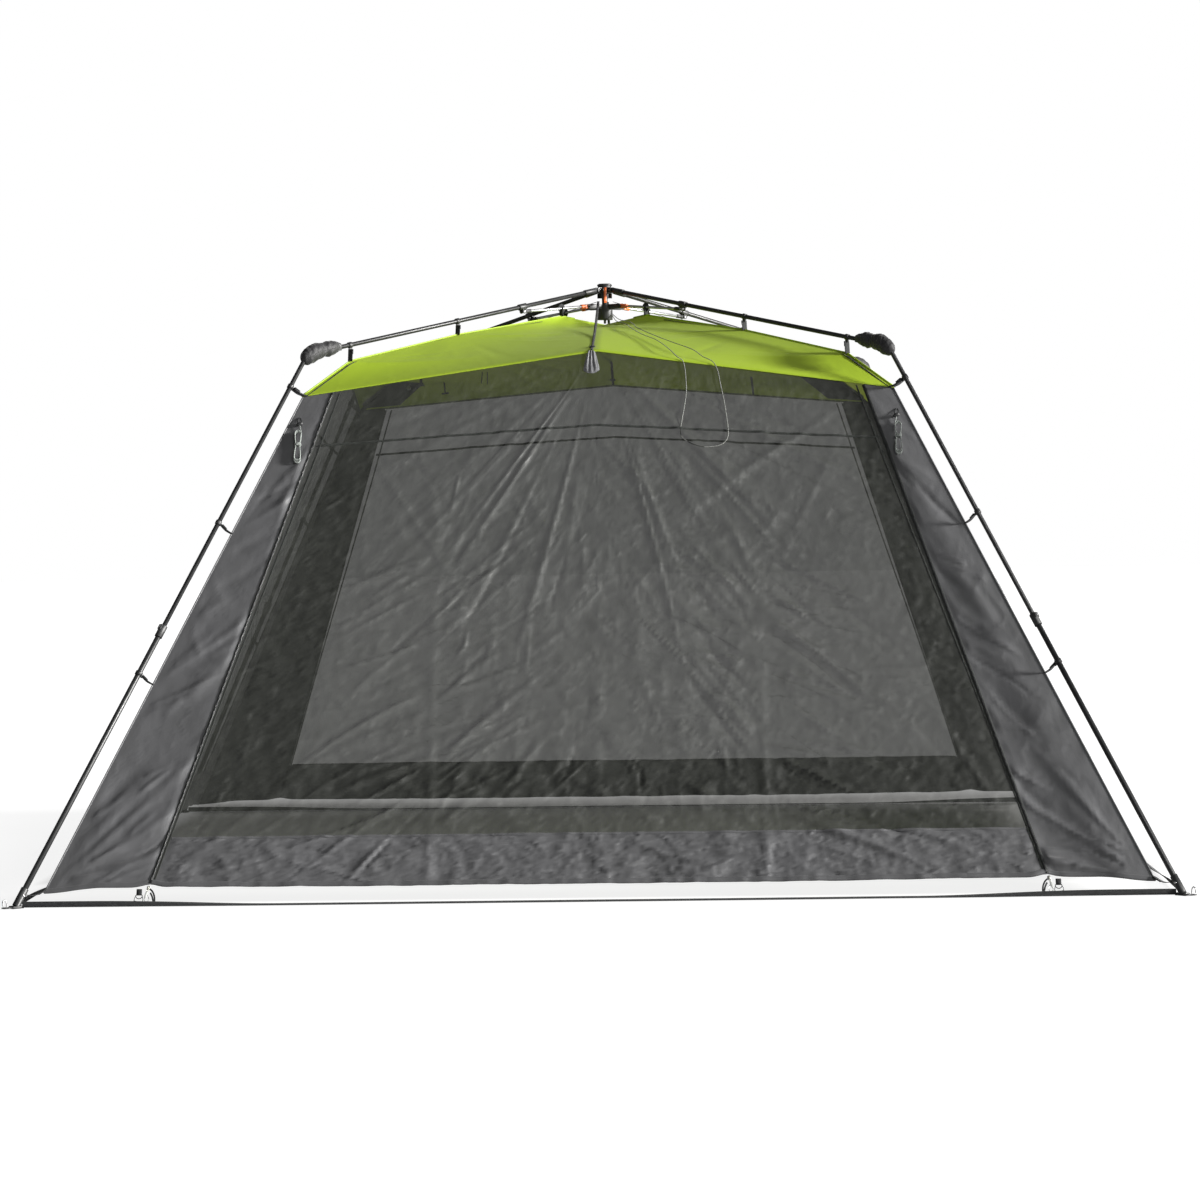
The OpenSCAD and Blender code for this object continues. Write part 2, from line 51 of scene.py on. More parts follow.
ROOT_2 = math.sqrt(2)
HEM, HEM_Z = 1.872, 0.040
EAVE, EAVE_Z = 1.052, 1.738
HEM_R, EAVE_R = HEM * ROOT_2, EAVE * ROOT_2
APEX_Z = 2.024
PEAK_Z = {0: 1.887, 90: 1.855, 180: 1.827, 270: 1.855}
ZIP_BOTTOM, ZIP_TOP = 1.521, 0.946
SKIRT_TOP = HEM_Z + 0.174
SLOPE = (HEM - EAVE) / (EAVE_Z - HEM_Z)
WALL_TILT = math.atan2(EAVE_Z - HEM_Z, HEM - EAVE)
PIVOT_R, PIVOT_Z = 0.036, 2.156
KNEE_R, KNEE_Z = 1.036 * ROOT_2, 1.8895
FOOT_HALF = 1.950
FOOT_R, FOOT_CENTRE_Z = FOOT_HALF * ROOT_2, 0.012
ARM_TILT, ARM_LEN = math.radians(10.7995), 1.45375
LEG_TILT = math.atan2(KNEE_Z - FOOT_CENTRE_Z, FOOT_R - KNEE_R)
LEG_LEN = math.hypot(KNEE_Z - FOOT_CENTRE_Z, FOOT_R - KNEE_R)
ARM_CLIPS = (0.732, 1.259)
HIP = [(0.0, APEX_Z), (0.227, 2.050), (0.7550, 1.9688), (1.2727, 1.8621), (EAVE_R, EAVE_Z)]
SEAM_MIDDLE_Z, SEAM_SIDE_Z = 1.612, 1.546

CORNERS = {"fl": 225, "fr": 315, "bl": 135, "br": 45}
WALLS = {"front": 0, "right": 90, "back": 180, "left": 270}

# The fabric is cut into narrow gores about the hub's axis
GORE_ANGLES = [-45 + 11.25 * i for i in range(9)]
GORE_EDGES = [math.tan(math.radians(a)) for a in GORE_ANGLES]

# ---------- camera ----------


def make_camera():
    """The camera fitted to the feet, the knees and the hub. Its angles are in radians."""
    place, yaw, pitch, roll = (0.416, -14.231, 1.313), -0.0317, -0.0247, -0.0147
    forward = Vector((math.sin(yaw) * math.cos(pitch), math.cos(yaw) * math.cos(pitch), math.sin(pitch)))
    right = Vector((math.cos(yaw), -math.sin(yaw), 0))
    up = right.cross(forward)
    turned = right * math.cos(roll) + up * math.sin(roll)
    up = up * math.cos(roll) - right * math.sin(roll)
    data = bpy.data.cameras.new("camera")
    data.lens, data.sensor_width = 110.5, 36
    data.clip_end = 100
    camera = bpy.data.objects.new("camera", data)
    camera.matrix_world = Matrix.Translation(place) @ Matrix((turned, up, -forward)).transposed().to_4x4()
    bpy.context.scene.collection.objects.link(camera)
    bpy.context.scene.camera = camera


make_camera()

# ---------- materials ----------


def new_material(name):
    material = bpy.data.materials.new(name)
    material.use_nodes = True
    return material, material.node_tree, material.node_tree.nodes["Principled BSDF"]


def feed(tree, node, inputs):
    """Sets a node's inputs, each to a value or to another node's output."""
    for key, value in inputs.items():
        if isinstance(value, bpy.types.NodeSocket):
            tree.links.new(value, node.inputs[key])
        else:
            node.inputs[key].default_value = value
    return node


def add(tree, kind, inputs=None, **settings):
    """A new node with its settings and inputs."""
    node = tree.nodes.new(kind)
    for key, value in settings.items():
        setattr(node, key, value)
    return feed(tree, node, inputs or {})


def maths(tree, operation, first, second=0.5, **settings):
    return add(tree, "ShaderNodeMath", {0: first, 1: second}, operation=operation, **settings).outputs[0]


def coordinates(tree, kind):
    """UV, in metres along a sheet or cord, or Object, in metres of the shared frame."""
    return add(tree, "ShaderNodeTexCoord").outputs[kind]


def toned(colour, share, lift=0.0):
    return tuple(min(1.0, share * c + lift) for c in colour)


def ramp(tree, factor, *stops):
    """Colour ramp through (position, colour) stops."""
    node = add(tree, "ShaderNodeValToRGB", {"Fac": factor})
    elements = node.color_ramp.elements
    while len(elements) < len(stops):
        elements.new(0.5)
    for element, (position, colour) in zip(elements, stops):
        element.position, element.color = position, (*colour, 1)
    return node.outputs["Color"]


def span(tree, value, low, high, from_low=0.0, from_high=1.0):
    """Maps a value onto the span from low to high."""
    node = add(tree, "ShaderNodeMapRange", {"Value": value, "From Min": from_low, "From Max": from_high,
                                            "To Min": low, "To Max": high})
    return node.outputs["Result"]


def bump(tree, height, strength, distance, before=None):
    inputs = {"Height": height, "Strength": strength, "Distance": distance}
    if before is not None:
        inputs["Normal"] = before
    return add(tree, "ShaderNodeBump", inputs).outputs["Normal"]


def noise(tree, vector, scale, detail=3.0, roughness=0.5, **settings):
    return add(tree, "ShaderNodeTexNoise", {"Vector": vector, "Scale": scale, "Detail": detail,
                                            "Roughness": roughness}, **settings).outputs["Fac"]


def weave(tree, vector, pitch):
    """Over-and-under threads along U and V, a pitch apart in metres."""
    scale = 2 * math.pi / (20 * pitch)
    warp, weft = (add(tree, "ShaderNodeTexWave", {"Vector": vector, "Scale": scale}, bands_direction=d)
                  for d in "XY")
    return maths(tree, "MULTIPLY", warp.outputs["Fac"], weft.outputs["Fac"])


def taffeta(name, dark, light, through, see_through=0.12, rough=0.46, crush=1.0, sheen=0.25):
    """Coated polyester cloth: fine plain weave, soft crush wrinkles, and a little light through it."""
    material, tree, shader = new_material(name)
    uv = coordinates(tree, "UV")
    creased = noise(tree, uv, 13.0, 5.0, 0.55, noise_type="RIDGED_MULTIFRACTAL")
    folds = bump(tree, creased, 0.35 * crush, 0.006)
    fine = bump(tree, noise(tree, uv, 46.0, 3.0), 0.30 * crush, 0.002, folds)
    feed(tree, shader, {
        "Base Color": ramp(tree, noise(tree, uv, 2.2, 4.0), (0.30, dark), (0.70, light)),
        "Roughness": span(tree, noise(tree, uv, 9.0, 3.0), rough - 0.06, rough + 0.08),
        "Specular IOR Level": 0.5, "Sheen Weight": sheen, "Sheen Roughness": 0.4,
        "Normal": bump(tree, weave(tree, uv, 0.0011), 0.12, 0.0003, fine),
    })
    glow = add(tree, "ShaderNodeBsdfTranslucent", {"Color": (*through, 1), "Normal": folds})
    mixed = add(tree, "ShaderNodeMixShader", {0: see_through, 1: shader.outputs[0], 2: glow.outputs[0]})
    tree.links.new(mixed.outputs[0], tree.nodes["Material Output"].inputs["Surface"])
    return material


def netting(name, thread, cover):
    """No-see-um mesh: fine threads that hide more of what is behind them the flatter they are seen."""
    material, tree, shader = new_material(name)
    uv = coordinates(tree, "UV")
    creased = noise(tree, uv, 11.0, 5.0, 0.6, noise_type="RIDGED_MULTIFRACTAL")
    folds = bump(tree, creased, 0.24, 0.006)
    edge = add(tree, "ShaderNodeLayerWeight", {"Blend": 0.35}).outputs["Facing"]
    threads = span(tree, weave(tree, uv, 0.0016), -0.05, 0.05)
    solid = maths(tree, "ADD", span(tree, edge, cover, 0.97), threads)
    feed(tree, shader, {
        "Base Color": ramp(tree, noise(tree, uv, 3.0, 4.0), (0.3, toned(thread, 0.75)), (0.7, thread)),
        "Roughness": 0.47, "Specular IOR Level": 0.50, "Sheen Weight": 0.10, "Sheen Roughness": 0.35,
        "Normal": bump(tree, noise(tree, uv, 40.0, 3.0), 0.18, 0.002, folds),
        "Alpha": maths(tree, "ADD", solid, span(tree, creased, -0.03, 0.05), use_clamp=True),
    })
    return material


def webbing(name, colour, rough=0.72):
    """Ribbed polypropylene webbing."""
    material, tree, shader = new_material(name)
    uv = coordinates(tree, "UV")
    light = toned(colour, 1.6, 0.002)
    feed(tree, shader, {
        "Base Color": ramp(tree, noise(tree, uv, 60.0, 3.0), (0.3, colour), (0.75, light)),
        "Roughness": rough, "Specular IOR Level": 0.3, "Sheen Weight": 0.08,
        "Normal": bump(tree, weave(tree, uv, 0.0022), 0.7, 0.0008),
    })
    return material


def moulded(name, colour, rough=0.45):
    """Moulded nylon with a fine spark-eroded grain and paler patches at random."""
    material, tree, shader = new_material(name)
    place = coordinates(tree, "Object")
    light = toned(colour, 1.7, 0.008)
    feed(tree, shader, {
        "Base Color": ramp(tree, noise(tree, place, 35.0, 4.0), (0.35, colour), (0.8, light)),
        "Roughness": span(tree, noise(tree, place, 90.0, 2.0), rough - 0.08, rough + 0.12),
        "Normal": bump(tree, noise(tree, place, 900.0, 2.0), 0.25, 0.0004),
    })
    return material


def painted_tube(name, colour):
    """Powder-coated steel tube: orange-peel gloss with faint handling scuffs."""
    material, tree, shader = new_material(name)
    place = coordinates(tree, "Object")
    scuffs = noise(tree, place, 14.0, 6.0, 0.65)
    feed(tree, shader, {
        "Base Color": ramp(tree, scuffs, (0.45, colour), (0.85, toned(colour, 1.6, 0.01))),
        "Roughness": span(tree, noise(tree, place, 22.0, 5.0), 0.26, 0.46),
        "Specular IOR Level": 0.35,
        "Normal": bump(tree, noise(tree, place, 420.0, 2.0), 0.12, 0.0004),
    })
    return material


def metal(name, colour, rough):
    """Drawn or turned metal with fine scratches."""
    material, tree, shader = new_material(name)
    place = coordinates(tree, "Object")
    feed(tree, shader, {
        "Base Color": ramp(tree, noise(tree, place, 30.0, 5.0), (0.3, toned(colour, 0.7)), (0.7, colour)),
        "Metallic": 0.9,
        "Roughness": span(tree, noise(tree, place, 120.0, 4.0), rough - 0.07, rough + 0.12),
        "Normal": bump(tree, noise(tree, place, 700.0, 2.0), 0.15, 0.0003),
    })
    return material


def braid(name, colour):
    """Braided cord with a diagonal lay along its own length."""
    material, tree, shader = new_material(name)
    uv = coordinates(tree, "UV")
    lay = add(tree, "ShaderNodeTexWave", {"Vector": uv, "Scale": 70.0, "Distortion": 1.5},
              bands_direction="DIAGONAL").outputs["Fac"]
    # The lay's grooves, low in the bump, are coloured darker than its strands: painted shade in the grooves.
    feed(tree, shader, {
        "Base Color": ramp(tree, lay, (0.25, toned(colour, 0.45)), (0.7, colour)),
        "Roughness": 0.6, "Sheen Weight": 0.3,
        "Normal": bump(tree, lay, 0.6, 0.0006),
    })
    return material


GREEN = taffeta("green_taffeta", (0.330, 0.470, 0.022), (0.375, 0.520, 0.030), (0.50, 0.62, 0.06),
                see_through=0.26, rough=0.50, crush=0.35, sheen=0.03)
GREY = taffeta("grey_taffeta", (0.074, 0.075, 0.078), (0.094, 0.095, 0.100), (0.10, 0.10, 0.105), rough=0.42,
               crush=0.55)
SCREEN = netting("screen_netting", (0.023, 0.025, 0.021), 0.78)
BLACK_WEB = webbing("black_webbing", (0.010, 0.011, 0.012))
PATCH = taffeta("patch_cloth", (0.110, 0.112, 0.118), (0.150, 0.152, 0.158), (0.1, 0.1, 0.1), rough=0.5)
# Doubling under the roof's corners: the cloth is real, but its near-black colour is painted shade in the
# corners.
DOUBLING_AND_SHADE = taffeta("corner_doubling_and_painted_shade", (0.020, 0.021, 0.020), (0.034, 0.036, 0.033), (0.02, 0.02, 0.02),
                     rough=0.6)
SEAM_TAPE = webbing("seam_tape", (0.012, 0.014, 0.012))
COVER_CLOTH = taffeta("cover_cloth", (0.008, 0.008, 0.009), (0.014, 0.014, 0.016), (0.01, 0.01, 0.01),
                      see_through=0.02, rough=0.62, crush=1.2)
FITTING = moulded("black_nylon", (0.011, 0.0115, 0.012))
ORANGE = moulded("orange_nylon", (0.62, 0.125, 0.03), 0.38)
TUBE = painted_tube("black_coated_steel", (0.012, 0.0125, 0.013))
SILVER = metal("strut_alloy", (0.48, 0.49, 0.50), 0.32)
STEEL = metal("bright_steel", (0.55, 0.55, 0.56), 0.28)
SLIDER = metal("zip_alloy", (0.50, 0.50, 0.46), 0.42)
PULL = moulded("pull_grey", (0.36, 0.37, 0.36), 0.5)
ZIP_COIL = moulded("zip_coil", (0.006, 0.006, 0.007), 0.35)
HANK_CORD = braid("hank_cord", (0.30, 0.33, 0.31))
GREY_CORD = braid("grey_cord", (0.20, 0.205, 0.19))

# ---------- mesh helpers ----------


def add_piece(name, vertices, faces, material, uvs=None, normals=None):
    """A smooth mesh object. uvs and normals have one entry per vertex."""
    mesh = bpy.data.meshes.new(name)
    mesh.from_pydata([tuple(v) for v in vertices], [], [tuple(int(i) for i in f) for f in faces])
    mesh.validate()
    mesh.materials.append(material)
    if uvs is not None:
        layer = mesh.uv_layers.new(name="UVMap")
        corner = np.zeros(len(mesh.loops), np.int32)
        mesh.loops.foreach_get("vertex_index", corner)
        layer.data.foreach_set("uv", np.asarray(uvs, np.float32)[corner].ravel())
    mesh.polygons.foreach_set("use_smooth", [True] * len(mesh.polygons))
    if normals is not None:
        mesh.normals_split_custom_set_from_vertices([tuple(n) for n in normals])
    piece = bpy.data.objects.new(name, mesh)
    bpy.context.scene.collection.objects.link(piece)
    return piece


def grid_faces(rows, columns, ring=False):
    """Quads over a grid of points in row order. A ring's last column joins its first."""
    last = columns if ring else columns - 1
    return [
        (r * columns + c, r * columns + (c + 1) % columns,
         (r + 1) * columns + (c + 1) % columns, (r + 1) * columns + c)
        for r in range(rows - 1)
        for c in range(last)
    ]


def capped_faces(rows, columns):
    """Faces of a tube through rings of points, closed at both ends."""
    first = tuple(range(columns))[::-1]
    last = tuple((rows - 1) * columns + i for i in range(columns))
    return [*grid_faces(rows, columns, ring=True), first, last]


def distances(path):
    """Distance along a path at each of its points."""
    return np.concatenate([[0], np.cumsum(np.linalg.norm(np.diff(path, axis=0), axis=1))])


def swept(name, path, section, material, up=(0.0, 0.0, 1.0)):
    """A closed outline, a list of (side, up) offsets, swept along a path of points."""
    path = np.asarray(path, float)
    along = np.gradient(path, axis=0)
    along /= np.linalg.norm(along, axis=1)[:, None]
    side = np.cross(along, np.asarray(up, float))
    for i in range(len(side)):
        if np.linalg.norm(side[i]) < 0.15:
            side[i] = side[i - 1] if i else np.cross(along[i], (0.3, 0.9, 0.1))
    side /= np.linalg.norm(side, axis=1)[:, None]
    lift = np.cross(side, along)
    section = np.asarray(section, float)
    rings = path[:, None] + section[:, :1] * side[:, None] + section[:, 1:] * lift[:, None]
    uvs = [(along_path, around_it) for along_path in distances(path) for around_it in distances(section)]
    faces = capped_faces(len(path), len(section))
    return add_piece(name, rings.reshape(-1, 3), faces, material, uvs)


def strap_section(width, thickness):
    """Outline of flat webbing with softly rounded edges."""
    w, t = width / 2, thickness / 2
    inner = w - t
    half = [(w, 0), (inner, t), (0, t * 1.05), (-inner, t)]
    return half + [(-x, -y) for x, y in half]


def smooth_path(points, count):
    """A Catmull-Rom curve through the points, evenly spaced along its length."""
    p = np.asarray(points, float)
    p = np.vstack([2 * p[0] - p[1], p, 2 * p[-1] - p[-2]])
    fine = []
    for a, b, c, d in zip(p, p[1:], p[2:], p[3:]):
        for t in np.linspace(0, 1, 24, endpoint=False):
            fine.append(0.5 * (2 * b + (c - a) * t + (2 * a - 5 * b + 4 * c - d) * t**2
                               + (3 * b - a - 3 * c + d) * t**3))
    fine = np.array([*fine, p[-2]])
    run = distances(fine)
    at = np.linspace(0, run[-1], count)
    return np.stack([np.interp(at, run, fine[:, k]) for k in range(3)], axis=1)


def lathe(name, profile, material, centre, axis, sides=24):
    """A solid of revolution: profile is (radius, height) points along the axis from the centre."""
    axis = Vector(axis).normalized()
    turn = Vector((0, 0, 1)).rotation_difference(axis).to_matrix()
    vertices = []
    for radius, height in profile:
        for i in range(sides):
            a = 2 * math.pi * i / sides
            rim = Vector((radius * math.cos(a), radius * math.sin(a), height))
            vertices.append(Vector(centre) + turn @ rim)
    return add_piece(name, vertices, capped_faces(len(profile), sides), material)


def joined(name, parts):
    """Joins mesh objects into one piece and drops the parts."""
    joiner = bmesh.new()
    materials = []
    for part in parts:
        start = len(joiner.faces)
        joiner.from_mesh(part.data)
        joiner.faces.ensure_lookup_table()
        for face in joiner.faces[start:]:
            material = part.data.materials[face.material_index]
            if material not in materials:
                materials.append(material)
            face.material_index = materials.index(material)
    mesh = bpy.data.meshes.new(name)
    joiner.to_mesh(mesh)
    joiner.free()
    for material in materials:
        mesh.materials.append(material)
    for part in parts:
        bpy.data.objects.remove(part)
    piece = bpy.data.objects.new(name, mesh)
    bpy.context.scene.collection.objects.link(piece)
    return piece


def gathers(piece):
    """Gives a piece its own copy of its mesh."""
    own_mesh(piece)


def with_frame(piece):
    """A soft piece of the hub's body, with its own copy of its mesh."""
    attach(piece, "frame")
    gathers(piece)
    return piece


# ---------- cloth relief ----------


def lattice(ix, iy, seed):
    """A repeatable value from 0 to 1 at each whole-number point."""
    mixed_up = (ix * 374761393 + iy * 668265263 + seed * 974634777) & 0xFFFFFFFF
    mixed_up = ((mixed_up ^ (mixed_up >> 13)) * 1274126177) & 0xFFFFFFFF
    return ((mixed_up ^ (mixed_up >> 16)) & 0xFFFF) / 65535.0


def value_noise(x, y, seed):
    """Smooth noise from 0 to 1."""
    ix, iy = np.floor(x).astype(np.int64), np.floor(y).astype(np.int64)
    fx, fy = x - ix, y - iy
    fx, fy = fx * fx * (3 - 2 * fx), fy * fy * (3 - 2 * fy)
    low = lattice(ix, iy, seed) * (1 - fx) + lattice(ix + 1, iy, seed) * fx
    high = lattice(ix, iy + 1, seed) * (1 - fx) + lattice(ix + 1, iy + 1, seed) * fx
    return low * (1 - fy) + high * fy


def crumple(x, y, size, seed):
    """Sharp-edged crush wrinkles, from -1 to 1."""
    total, weight = 0.0, 1.0
    for octave in range(3):
        turn = 0.9 * octave + 0.4
        u = (x * math.cos(turn) - y * math.sin(turn)) / size
        v = (x * math.sin(turn) + y * math.cos(turn)) / size
        warp = value_noise(u * 0.7 + 9.1, v * 0.7 - 3.7, seed + 50 + octave)
        total = total + weight * (1 - 2 * np.abs(2 * value_noise(u + warp, v - warp, seed + octave) - 1))
        size, weight = size * 0.5, weight * 0.5
    return total / 1.75


def pulls(x, y, anchor, aims, seed, count, height, width, reach):
    """Tension folds that run straight out of an anchor, at angles in the aims span, in degrees."""
    rng = np.random.default_rng(seed)
    dx, dy = x - anchor[0], y - anchor[1]
    total = np.zeros_like(x)
    for _ in range(count):
        aim = math.radians(rng.uniform(*aims))
        wide = width * rng.uniform(0.6, 1.5)
        tall = height * rng.uniform(0.4, 1.0) * rng.choice([1.0, 1.0, -0.7])
        start, end = reach * rng.uniform(0.02, 0.35), reach * rng.uniform(0.5, 1.0)
        bend = rng.uniform(-0.05, 0.05)
        along = dx * math.cos(aim) + dy * math.sin(aim)
        across = -dx * math.sin(aim) + dy * math.cos(aim) + bend * along * along / reach
        spread = wide * (0.5 + np.clip(along / reach, 0, 1.2))
        fade = np.clip((along - start) / (0.25 * reach), 0, 1) * np.clip((end - along) / (0.35 * reach), 0, 1)
        total += tall * np.exp(-((across / spread) ** 2)) * fade
    return total


def eased(value):
    value = np.clip(value, 0, 1)
    return value * value * (3 - 2 * value)


# ---------- the shape of the fabric ----------


def wall_out(z):
    """Distance from the hub's axis to a wall's plane."""
    return EAVE - (z - EAVE_Z) * SLOPE


def eave_height(t, peak):
    """Height of the eave in the direction t, which is -1 and 1 at the corners and 0 at the peak."""
    fall = peak - EAVE_Z
    share = np.abs(t) * (EAVE - fall * SLOPE) / (EAVE - np.abs(t) * fall * SLOPE)
    return peak - share * fall


def zip_x(z, peak):
    """Distance of a zip from the middle of its wall."""
    top = peak - (peak - EAVE_Z) * ZIP_TOP / EAVE
    return ZIP_BOTTOM - (ZIP_BOTTOM - ZIP_TOP) * (z - HEM_Z) / (top - HEM_Z)


def hem_height(t):
    """The bottom edge: down at the corners, drawn up a little at the zips and slack between."""
    drawn_up, slack, at_zip_up = 0.016, 0.004, 0.010
    at_zip = ZIP_BOTTOM / HEM
    a = np.abs(t)
    lift = drawn_up * eased((1 - a) / 0.10) - slack * eased((at_zip - a) / 0.5)
    return HEM_Z + lift + at_zip_up * np.exp(-(((a - at_zip) / 0.018) ** 2))


def strokes(x, y, area, aims, seed, count, height, width, length):
    """Short separate creases that start inside an area (x0, x1, y0, y1), at angles in the aims span."""
    rng = np.random.default_rng(seed)
    total = np.zeros_like(x)
    x0, x1, y0, y1 = area
    centre, reach = (x.mean(), y.mean()), math.hypot(np.ptp(x), np.ptp(y)) / 2
    for _ in range(count):
        start = (rng.uniform(x0, x1), rng.uniform(y0, y1))
        aim = math.radians(rng.uniform(*aims))
        wide, long = width * rng.uniform(0.6, 1.5), length * rng.uniform(0.4, 1.3)
        tall = height * rng.uniform(0.4, 1.0) * rng.choice([1.0, 1.0, -0.8])
        bend = rng.uniform(-0.25, 0.25)
        if math.dist(start, centre) > reach + long + 0.1:
            continue
        dx, dy = x - start[0], y - start[1]
        along = (dx * math.cos(aim) + dy * math.sin(aim)) / long
        across = -dx * math.sin(aim) + dy * math.cos(aim) + bend * long * along * along
        total += tall * np.exp(-((across / wide) ** 2)) * eased(along / 0.25) * eased((1 - along) / 0.5)
    return total


# Where the walls lay folded, and where the guy line hanks press on the front corner panels
FOLD_X = 0.57
HANK_Z, HANK_INSET, HANK_PROUD = 1.604, 0.050, 0.006


def wall_relief(bearing, x, z):
    """How far a wall stands out of its plane: folds from its peak and corners, and where it lay folded."""
    peak, seed = PEAK_Z[bearing], 100 + bearing
    t = x / wall_out(z)
    up = (z - HEM_Z) / math.sin(WALL_TILT)
    top = (peak - HEM_Z) / math.sin(WALL_TILT)
    side = np.abs(x)
    hand = 1 if np.mean(x) > 0 else -1
    total = pulls(x, up, (0.0, top), (-160, -98), seed + 1, 20, 0.0066, 0.012, 1.5)
    total += pulls(x, up, (0.0, top), (-82, -20), seed + 2, 20, 0.0066, 0.012, 1.5)
    total += pulls(side, up, (ZIP_BOTTOM, 0.0), (112, 172), seed + 4 + hand, 10, 0.0045, 0.016, 1.1)
    total += pulls(side, up, (ZIP_TOP, top - 0.2), (-150, -112), seed + 7 + hand, 8, 0.0035, 0.013, 1.0)
    total += strokes(side, up, (FOLD_X - 0.02, FOLD_X + 0.04, 0.25, 1.25), (-38, -8), seed + 20 + hand, 30,
                     0.0066, 0.011, 0.55)
    total += strokes(side, up, (FOLD_X - 0.04, FOLD_X + 0.02, 0.20, 1.10), (118, 168), seed + 23 + hand, 30,
                     0.0060, 0.011, 0.46)
    total += strokes(side, up, (0.0, FOLD_X, 0.20, 1.50), (95, 150), seed + 26 + hand, 26,
                     0.0050, 0.010, 0.34)
    total += strokes(side, up, (0.75, 1.35, 0.25, 1.50), (-35, 20), seed + 29 + hand, 20, 0.0042, 0.010, 0.24)
    crest = np.exp(-(((side - FOLD_X) / 0.018) ** 2)) + 0.7 * np.exp(-((x / 0.022) ** 2))
    total += 0.0040 * crest * eased((1.35 - up) / 0.5) * (0.3 + 0.7 * value_noise(up * 14, 0 * up, seed + 32))
    middle = 0.30 + 0.70 * np.exp(-((x / 0.75) ** 2)) * eased((top - up) / 0.8)
    total += 0.0060 * middle * crumple(x, up, 0.12, seed + 33)
    total += 0.0018 * crumple(x, up, 0.055, seed + 34)
    skirt = eased((SKIRT_TOP + 0.02 - z) / 0.03)
    total += skirt * (0.0045 * crumple(x * 0.45, up, 0.075, seed + 35) + strokes(
        x, up, (-1.5, 1.5, 0.0, 0.18), (-20, 20), seed + 36, 40, 0.0040, 0.007, 0.22))
    held = eased((zip_x(z, peak) - side) / 0.04) * eased((eave_height(t, peak) - z) / 0.05)
    return total * held


def panel_relief(bearing, x, z):
    """Folds of a corner panel, between its zip and the corner seam that the leg clips pull on."""
    peak, seed = PEAK_Z[bearing], 300 + bearing + (7 if np.mean(x) < 0 else 0)
    side = np.abs(x)
    up = (z - HEM_Z) / math.sin(WALL_TILT)
    seam = wall_out(z)
    total = 0.0030 * crumple(side, up, 0.16, seed + 60)
    for i, (height, count) in enumerate([(1.70, 6), (CLIP_HEIGHTS[1], 8), (CLIP_HEIGHTS[2], 8), (0.05, 14)]):
        anchor = (wall_out(height), (height - HEM_Z) / math.sin(WALL_TILT))
        aims = (122, 178) if i == 3 else (100, 160)
        total += pulls(side, up, anchor, aims, seed + 11 * i, count, 0.0070, 0.019, 0.75)
    for i in range(9):
        low = 0.12 + 0.2 * i
        middle = (ZIP_BOTTOM + HEM) / 2 - 0.42 * low
        total += strokes(side, up, (middle - 0.10, middle + 0.10, low, low + 0.2), (128, 162),
                         seed + 70 + i, 4, 0.0060, 0.017, 0.32)
    total += strokes(side, up, (1.55, 1.80, 0.02, 0.12), (150, 178), seed + 90, 10, 0.0050, 0.007, 0.24)
    held = eased((side - zip_x(z, peak)) / 0.03) * eased((seam - side) / 0.05)
    under_hank = np.exp(-(((seam - side - HANK_INSET) / 0.04) ** 2)) * eased((z - 1.42) / 0.05)
    held = held * (1 - 0.8 * under_hank)
    return total * held * eased((eave_height(side / seam, peak) - z) / 0.04)


def relief(bearing, x, z):
    """A wall's relief, with its corner panels beyond the zips."""
    inside = np.abs(x) <= zip_x(z, PEAK_Z[bearing])
    return np.where(inside, wall_relief(bearing, x, z), panel_relief(bearing, x, z))


def turned(points, bearing):
    c, s = math.cos(math.radians(bearing)), math.sin(math.radians(bearing))
    x, y, z = points[..., 0], points[..., 1], points[..., 2]
    return np.stack([x * c - y * s, x * s + y * c, z], axis=-1)


def on_wall(bearing, x, z, out=0.0):
    """Row-frame points from places on a wall's plane and their distances out of it."""
    x, z, out = np.broadcast_arrays(np.asarray(x, float), np.asarray(z, float), np.asarray(out, float))
    local = np.stack([x, -wall_out(z) - out * math.sin(WALL_TILT), z + out * math.cos(WALL_TILT)], axis=-1)
    return turned(local, bearing)


def wall_frame(bearing, x, z, lean=0.0):
    """Frame of reference with +X along a wall, +Y up its slope and +Z out of it."""
    return (Matrix.Rotation(math.radians(bearing), 4, "Z") @ Matrix.Translation((x, -wall_out(z), z))
            @ Matrix.Rotation(WALL_TILT, 4, "X") @ Matrix.Rotation(lean, 4, "Z"))


def hip_height(r):
    """Height of the roof's hips, which pass through their strap points, at a distance from the hub's axis."""
    return np.interp(r, [p[0] for p in HIP], [p[1] for p in HIP])


def roof_relief(x, y, s, t, seed):
    """Shallow pulls from the strap points, and a little slack between the ridge and the hips."""
    total = 0.0014 * crumple(x, y, 0.30, seed)
    for reach, _ in HIP[1:4]:
        corner = reach / ROOT_2
        total += pulls(np.abs(x), y, (corner, -corner), (150, 262), seed + round(100 * reach), 6,
                       0.0022, 0.016, 0.6)
    a = np.abs(t)
    return total * eased((1 - s) / 0.04) * eased((1 - a) / 0.06) * eased(s / 0.1)


# The roof's curve away from its hips, through its corner and level with the hips' second straps
ROOF_RISE = 0.0702
RIDGE_LIFT = 0.020
ROOF_FALL = (APEX_Z + ROOF_RISE * EAVE - EAVE_Z) / EAVE**2


